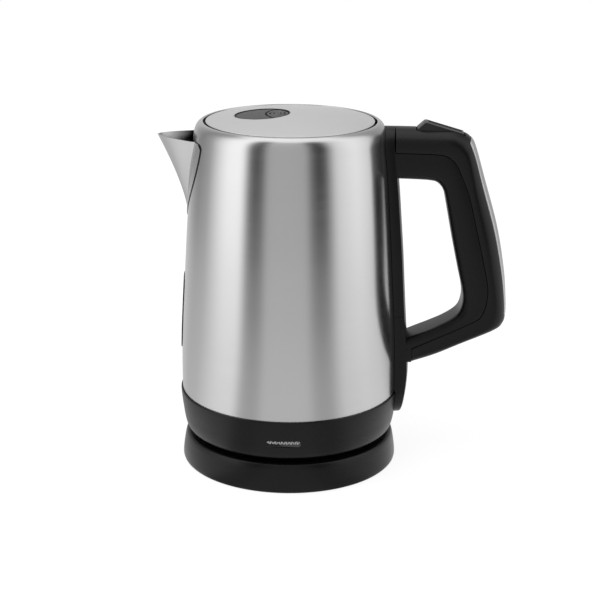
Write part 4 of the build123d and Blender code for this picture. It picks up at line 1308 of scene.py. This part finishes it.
# ---- stage ------------------------------------------------------------------------------
def seen_directly(tree):
    """One where a camera, glossy or transmission ray arrives, nought for other rays."""
    rays = node(tree, "ShaderNodeLightPath").outputs
    seen = rays["Is Camera Ray"]
    for kind in ("Is Glossy Ray", "Is Transmission Ray"):
        either = node(tree, "ShaderNodeMath", {0: seen, 1: rays[kind]}, operation="MAXIMUM")
        seen = either.outputs[0]
    return seen


# brightness of the tent against degrees round it from the front, the right side positive:
# two dark cards stand either side of the front, with the brightest cloth beyond them
TENT_BANDS = (
    (-180, 0.66), (-150, 0.62), (-118, 0.32), (-98, 0.5), (-80, 1.15),
    (-70, 1.42), (-51, 1.5), (-42, 0.12), (-35, 0.0), (-28, 0.1),
    (-21, 0.56), (19, 0.56), (26, 0.14), (33, 0.0), (41, 0.06),
    (54, 0.95), (80, 1.25), (104, 1.05), (118, 0.35), (180, 0.66),
)
CLOTH_TOP = (0.94, 1.06)  # metres: the roof brightens between these heights
CLOTH_FOOT = 0.09  # metres: the floor lights the cloth up to here


def tent_material():
    """Light tent: white cloth with dark cards hung in it, which run round the object as
    upright bands. Its roof is bright, and its foot is lit by the floor."""
    material, tree, place = new_material("Light tent")
    at = node(tree, "ShaderNodeSeparateXYZ", {"Vector": place}).outputs
    toward = node(tree, "ShaderNodeMath", {0: at["Y"], 1: -1.0}, operation="MULTIPLY")
    turn = node(tree, "ShaderNodeMath", {0: at["X"], 1: toward.outputs[0]}, operation="ARCTAN2")
    share = node(
        tree, "ShaderNodeMapRange", {"Value": turn.outputs[0], "From Min": -pi, "From Max": pi}
    )
    bands = node(
        tree,
        "ShaderNodeValToRGB",
        {"Fac": share.outputs[0]},
        stops=[(0.5 + degrees / 360.0, grey(value)) for degrees, value in TENT_BANDS],
    )
    roof = node(
        tree,
        "ShaderNodeMapRange",
        {"Value": at["Z"], "From Min": CLOTH_TOP[0], "From Max": CLOTH_TOP[1]},
        interpolation_type="SMOOTHSTEP",
    )
    foot = node(
        tree,
        "ShaderNodeMapRange",
        {"Value": at["Z"], "From Min": 0.0, "From Max": CLOTH_FOOT, "To Min": 0.66, "To Max": 0.0},
        interpolation_type="SMOOTHSTEP",
    )
    cloth = bands.outputs["Color"]
    for weight, tone in ((foot, 0.8), (roof, 1.35)):
        cloth = node(
            tree, "ShaderNodeMix", {0: weight.outputs[0], 6: cloth, 7: grey(tone)}, data_type="RGBA"
        ).outputs[2]
    glow = node(tree, "ShaderNodeEmission", {"Color": cloth, "Strength": 1.0})
    node(tree, "ShaderNodeOutputMaterial", {"Surface": glow.outputs[0]})
    return material


def floor_material():
    """Matt white paper. Straight on it shows as white and keeps the shadow."""
    material, tree, place = new_material("White paper floor")
    fibre = node(tree, "ShaderNodeTexNoise", {"Vector": place, "Scale": 6.0, "Detail": 3.0})
    base = node(
        tree,
        "ShaderNodeValToRGB",
        {"Fac": fibre.outputs["Fac"]},
        stops=((0.0, grey(0.86)), (1.0, grey(0.9))),
    )
    paper = node(tree, "ShaderNodeBsdfDiffuse", {"Color": base.outputs["Color"]})
    white = node(tree, "ShaderNodeEmission", {"Color": grey(1.0), "Strength": 1.08})
    weight = node(tree, "ShaderNodeMath", {0: seen_directly(tree), 1: 0.8}, operation="MULTIPLY")
    both = node(
        tree,
        "ShaderNodeMixShader",
        {0: weight.outputs[0], 1: paper.outputs[0], 2: white.outputs[0]},
    )
    node(tree, "ShaderNodeOutputMaterial", {"Surface": both.outputs[0]})
    return material


class KETTLE_OT_stage(bpy.types.Operator):
    """Set the floor, the light tent, the lamps, the world and the camera"""

    bl_idname = "kettle.stage"
    bl_label = "Stage"

    def execute(self, context):
        scene = context.scene
        stage = scene.kettle_stage
        floor = bmesh.new()
        bmesh.ops.create_grid(floor, x_segments=4, y_segments=4, size=9.0)
        bmesh.ops.translate(floor, verts=floor.verts, vec=(0, 0, -0.0002))
        new_object("floor", floor, floor_material())

        radius = stage.tent_radius / MM
        outline = [
            (0.1, 0.6), (60, 0.6), (radius * 0.9, 0.6), (radius * 0.98, 12), (radius, 50),
            (radius, 300), (radius, 700), (radius * 0.9, 950), (radius * 0.6, 1050), (0.1, 1080),
        ]
        tent = new_object("light_tent", spun(outline, 96), tent_material())
        tent.visible_camera = False
        tent.visible_diffuse = False
        tent.visible_transmission = False
        tent.visible_shadow = False

        middle = Vector((0, 0, 0.12))
        for name, spot, size, power in (
            ("key_lamp", (-0.35, -0.3, 1.5), 1.1, stage.key_power),
            ("left_lamp", (-1.3, -0.5, 0.8), 0.9, stage.key_power * 0.45),
            ("right_lamp", (1.3, -0.4, 0.9), 0.9, stage.key_power * 0.35),
        ):
            lamp = bpy.data.lights.new(name, "AREA")
            lamp.shape = "DISK"
            lamp.size = size
            lamp.energy = power
            made = bpy.data.objects.new(name, lamp)
            made.location = spot
            made.rotation_euler = (middle - Vector(spot)).to_track_quat("-Z", "Y").to_euler()
            scene.collection.objects.link(made)

        world = bpy.data.worlds.new("Studio")
        scene.world = world
        world.use_nodes = True
        tree = world.node_tree
        tree.nodes.clear()
        seen = seen_directly(tree)
        tone = node(tree, "ShaderNodeMix", {0: seen, 6: grey(0.75), 7: grey(1.0)}, data_type="RGBA")
        light = node(tree, "ShaderNodeBackground", {"Color": tone.outputs[2], "Strength": 1.0})
        node(tree, "ShaderNodeOutputWorld", {"Surface": light.outputs[0]})
        scene.view_settings.view_transform = "Standard"

        camera = bpy.data.cameras.new("camera")
        camera.sensor_width = 36.0
        camera.lens = stage.lens
        eye = bpy.data.objects.new("camera", camera)
        eye.location = (0.0405, -1.0312, 0.443)
        # turned a little to the left, looking down, and rolled by a fraction of a degree
        pan, down, roll = 2.0, 17.53, 0.27
        turn = Matrix.Rotation(radians(pan), 3, "Z") @ Matrix.Rotation(radians(90 - down), 3, "X")
        eye.rotation_euler = (turn @ Matrix.Rotation(radians(roll), 3, "Z")).to_euler()
        scene.collection.objects.link(eye)
        scene.camera = eye
        return {"FINISHED"}


class KETTLE_PT_panel(bpy.types.Panel):
    """Kettle pieces and settings"""

    bl_label = "Electric Kettle"
    bl_idname = "KETTLE_PT_panel"
    bl_space_type = "VIEW_3D"
    bl_region_type = "UI"
    bl_category = "Kettle"

    def draw(self, context):
        for group, _ in SETTINGS:
            settings = getattr(context.scene, group)
            box = self.layout.box()
            for name in settings.__annotations__:
                box.prop(settings, name)
        for operator in OPERATORS:
            self.layout.operator(operator.bl_idname)


OPERATORS = (
    KETTLE_OT_finishes,
    KETTLE_OT_jug_wall,
    KETTLE_OT_spout,
    KETTLE_OT_lid,
    KETTLE_OT_springs,
    KETTLE_OT_rings,
    KETTLE_OT_handle,
    KETTLE_OT_rocker,
    KETTLE_OT_stage,
)
SETTINGS = (
    ("kettle_jug", JugSettings),
    ("kettle_handle", HandleSettings),
    ("kettle_finish", FinishSettings),
    ("kettle_stage", StageSettings),
)


def register():
    for name, settings in SETTINGS:
        bpy.utils.register_class(settings)
        setattr(bpy.types.Scene, name, bpy.props.PointerProperty(type=settings))
    for cls in OPERATORS + (KETTLE_PT_panel,):
        bpy.utils.register_class(cls)


def unregister():
    for cls in (KETTLE_PT_panel,) + OPERATORS[::-1]:
        bpy.utils.unregister_class(cls)
    for name, settings in SETTINGS[::-1]:
        delattr(bpy.types.Scene, name)
        bpy.utils.unregister_class(settings)


def main():
    register()
    MATERIALS.update(make_materials(bpy.context.scene.kettle_finish))
    for operator in OPERATORS:
        group, name = operator.bl_idname.split(".")
        getattr(getattr(bpy.ops, group), name)()


if __name__ == "__main__":
    main()
